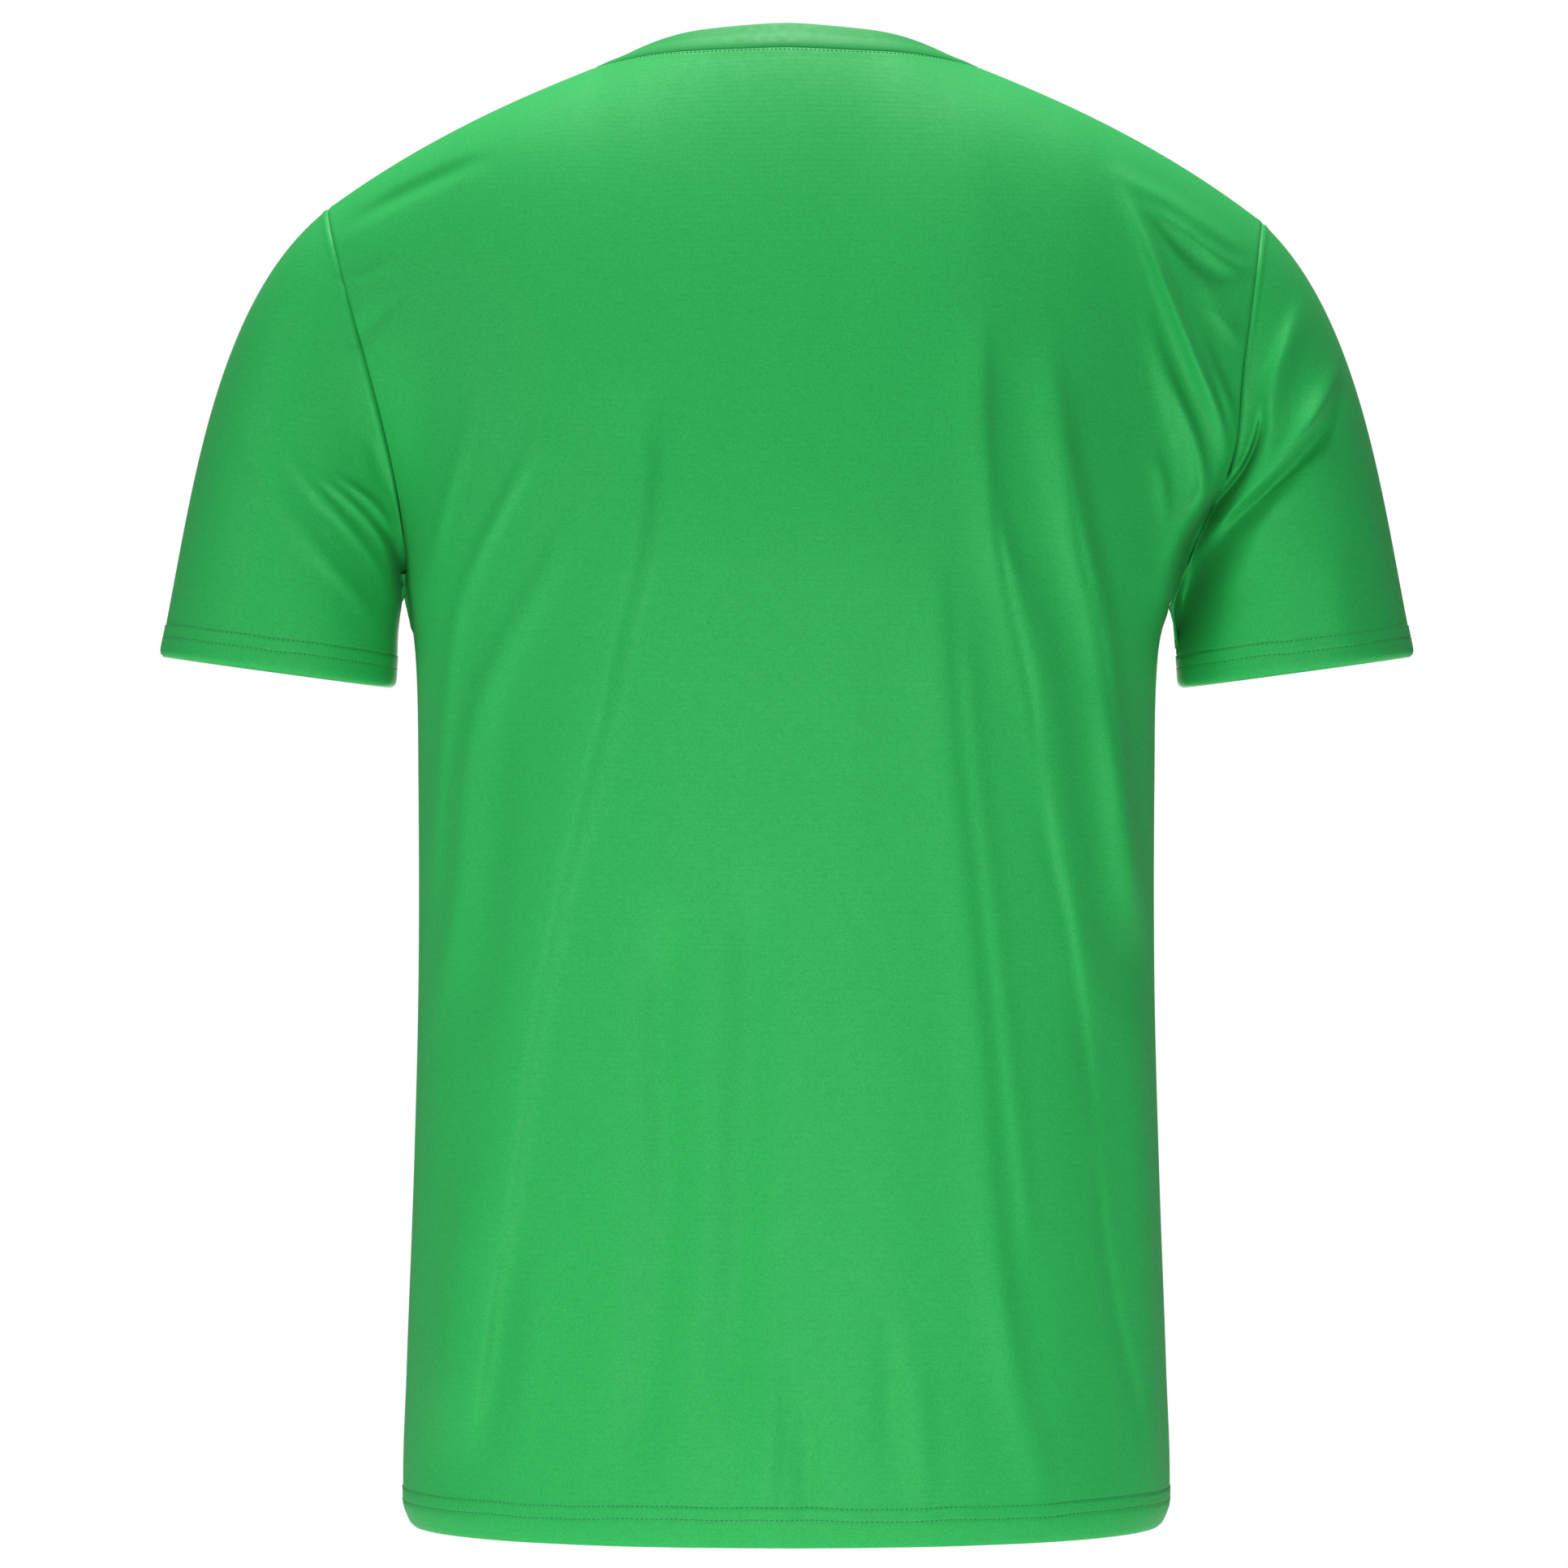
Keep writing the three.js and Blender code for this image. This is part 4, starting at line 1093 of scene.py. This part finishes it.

# %% [markdown]
# ## Each piece takes its place
#
# The cloth rides on the shirt's one body and stands for its solid. The flat size of what shows is printed for
# each piece, without turned hems and seam allowances, with its area. For a body panel that is its width under
# the arms and its longest column, measured on the net. Both sleeves are one cut, and the neckband is cut a
# little short and stretched on.

# %% Riding, replacing and cutting sizes
for piece, node, material, slot in (
    (back_panel, "back_panel", jersey, "jersey"),
    (front_panel, "front_panel", jersey, "jersey"),
    (left_sleeve, "left_sleeve", jersey, "jersey"),
    (right_sleeve, "right_sleeve", jersey, "jersey"),
    (neckband, "neckband", rib, "neckband_knit"),
):
    piece.data.materials.append(material)
    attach(piece, "root")
    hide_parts(node)

for piece, slot in ((hem_stitches, "jersey"), (cuff_stitches, "jersey"), (neck_stitches, "neckband_knit")):
    piece.data.materials.append(thread)
    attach(piece, "root")


def measure(name, net, ring, row):
    """Prints the size of one layer of a net: one of its rows, its longest column and its area."""
    closed = np.concatenate([net, net[:, :1]], axis=1) if ring else net
    across, down = np.diff(closed, axis=1), np.diff(closed, axis=0)
    wide = np.linalg.norm(across[row], axis=-1).sum()
    tall = np.linalg.norm(down, axis=-1).sum(0).max()
    area = np.linalg.norm(np.cross(across[:-1], down[:, :-1]), axis=-1).sum()
    print(name, round(wide), "mm wide,", round(tall), "mm long,", round(area * MM**2, 4), "square metres")


measure("the back", back_cloth, False, UNDERARM_ROW)
measure("the front", front_cloth, False, UNDERARM_ROW)
measure("the left sleeve", left_cloth, True, SLEEVE_ROWS // 4)
measure("the right sleeve", right_cloth, True, SLEEVE_ROWS // 4)
measure("the neckband", neckband_net, True, 0)

# %% [markdown]
# ## Floor, light and camera
#
# A plain pale floor lies well below the shirt, so it takes no colour from the cloth. It glows a little, and
# lights the lower back and the hems softly from below. Five soft lights stand round the shirt, all aimed at
# its middle. The key stands low and near, straight behind the back, and gives the cloth its even brightness.
# The side light stands at the camera's left and rakes over the creases: one side of each comes out bright and
# the other dark. The top light and the collar light brighten the shoulders and the neckband. The front light
# stands on the other side, so that the shirt looks right from there too. The camera looks level at the back
# through a long lens. From here on, all places are in metres.

# %% Floor
FLOOR_Z, FLOOR_REACH = -1.1, 3.1
FLOOR_LOOK = {"Base Color": (0.9, 0.9, 0.9, 1), "Roughness": 0.9, "Emission Color": (1, 1, 1, 1)}
FLOOR_GLOW = 0.3

mesh = bpy.data.meshes.new("floor")
corners = [(-1, -1), (1, -1), (1, 1), (-1, 1)]
mesh.from_pydata([(FLOOR_REACH * x, FLOOR_REACH * y, FLOOR_Z) for x, y in corners], [], [range(4)])
material = bpy.data.materials.new("floor")
material.use_nodes = True
shader = material.node_tree.nodes["Principled BSDF"]
for socket, value in FLOOR_LOOK.items():
    shader.inputs[socket].default_value = value
shader.inputs["Emission Strength"].default_value = FLOOR_GLOW
mesh.materials.append(material)
placed("floor", mesh)

# %% Lights
LIGHTS = [
    # name, place, width, watts
    ("key", (-0.05, 1.42, -0.78), 0.5, 8.1),
    ("side", (2.05, 1.45, 0.25), 0.6, 12.2),
    ("top", (0, 0.1, 2.3), 0.7, 54),
    ("collar", (0, -0.36, 1.05), 0.5, 9),
    ("front", (0, -2.6, -0.5), 1.2, 30),
]
LIT_PLACE = Vector((0, 0, -0.3))


def turned(piece, place, back):
    """Puts a lamp or camera in its place, with its back to the given direction."""
    piece.location = place
    piece.rotation_mode = "QUATERNION"
    piece.rotation_quaternion = back.to_track_quat("Z", "Y")


for name, place, width, watts in LIGHTS:
    light = bpy.data.lights.new(name, "AREA")
    light.shape, light.size, light.energy = "DISK", width, watts
    turned(placed(name, light), place, Vector(place) - LIT_PLACE)

# %% [markdown]
# The world is pure white where the camera sees it, and a weak even light on the cloth. A strong even light
# from everywhere would wash out every crease.

# %% World
EVEN_LIGHT = 0.17
scene = bpy.context.scene
scene.view_settings.view_transform = "Standard"
world = scene.world = bpy.data.worlds.new("studio")
world.use_nodes = True
tree = world.node_tree
seen, lighting = tree.nodes.new("ShaderNodeBackground"), tree.nodes["Background"]
for background, strength in ((seen, 1), (lighting, EVEN_LIGHT)):
    background.inputs["Color"].default_value = (1, 1, 1, 1)
    background.inputs["Strength"].default_value = strength
either = tree.nodes.new("ShaderNodeMixShader")
path = tree.nodes.new("ShaderNodeLightPath")
tree.links.new(path.outputs["Is Camera Ray"], either.inputs["Fac"])
tree.links.new(lighting.outputs[0], either.inputs[1])
tree.links.new(seen.outputs[0], either.inputs[2])
tree.links.new(either.outputs[0], tree.nodes["World Output"].inputs["Surface"])

# %% Camera
CAMERA_PLACE = (0.0014, 3.5, -0.3528)
lens = bpy.data.cameras.new("camera")
lens.sensor_width, lens.lens = 36, 163
camera = scene.camera = placed("camera", lens)
turned(camera, CAMERA_PLACE, Vector((0, 1, 0)))
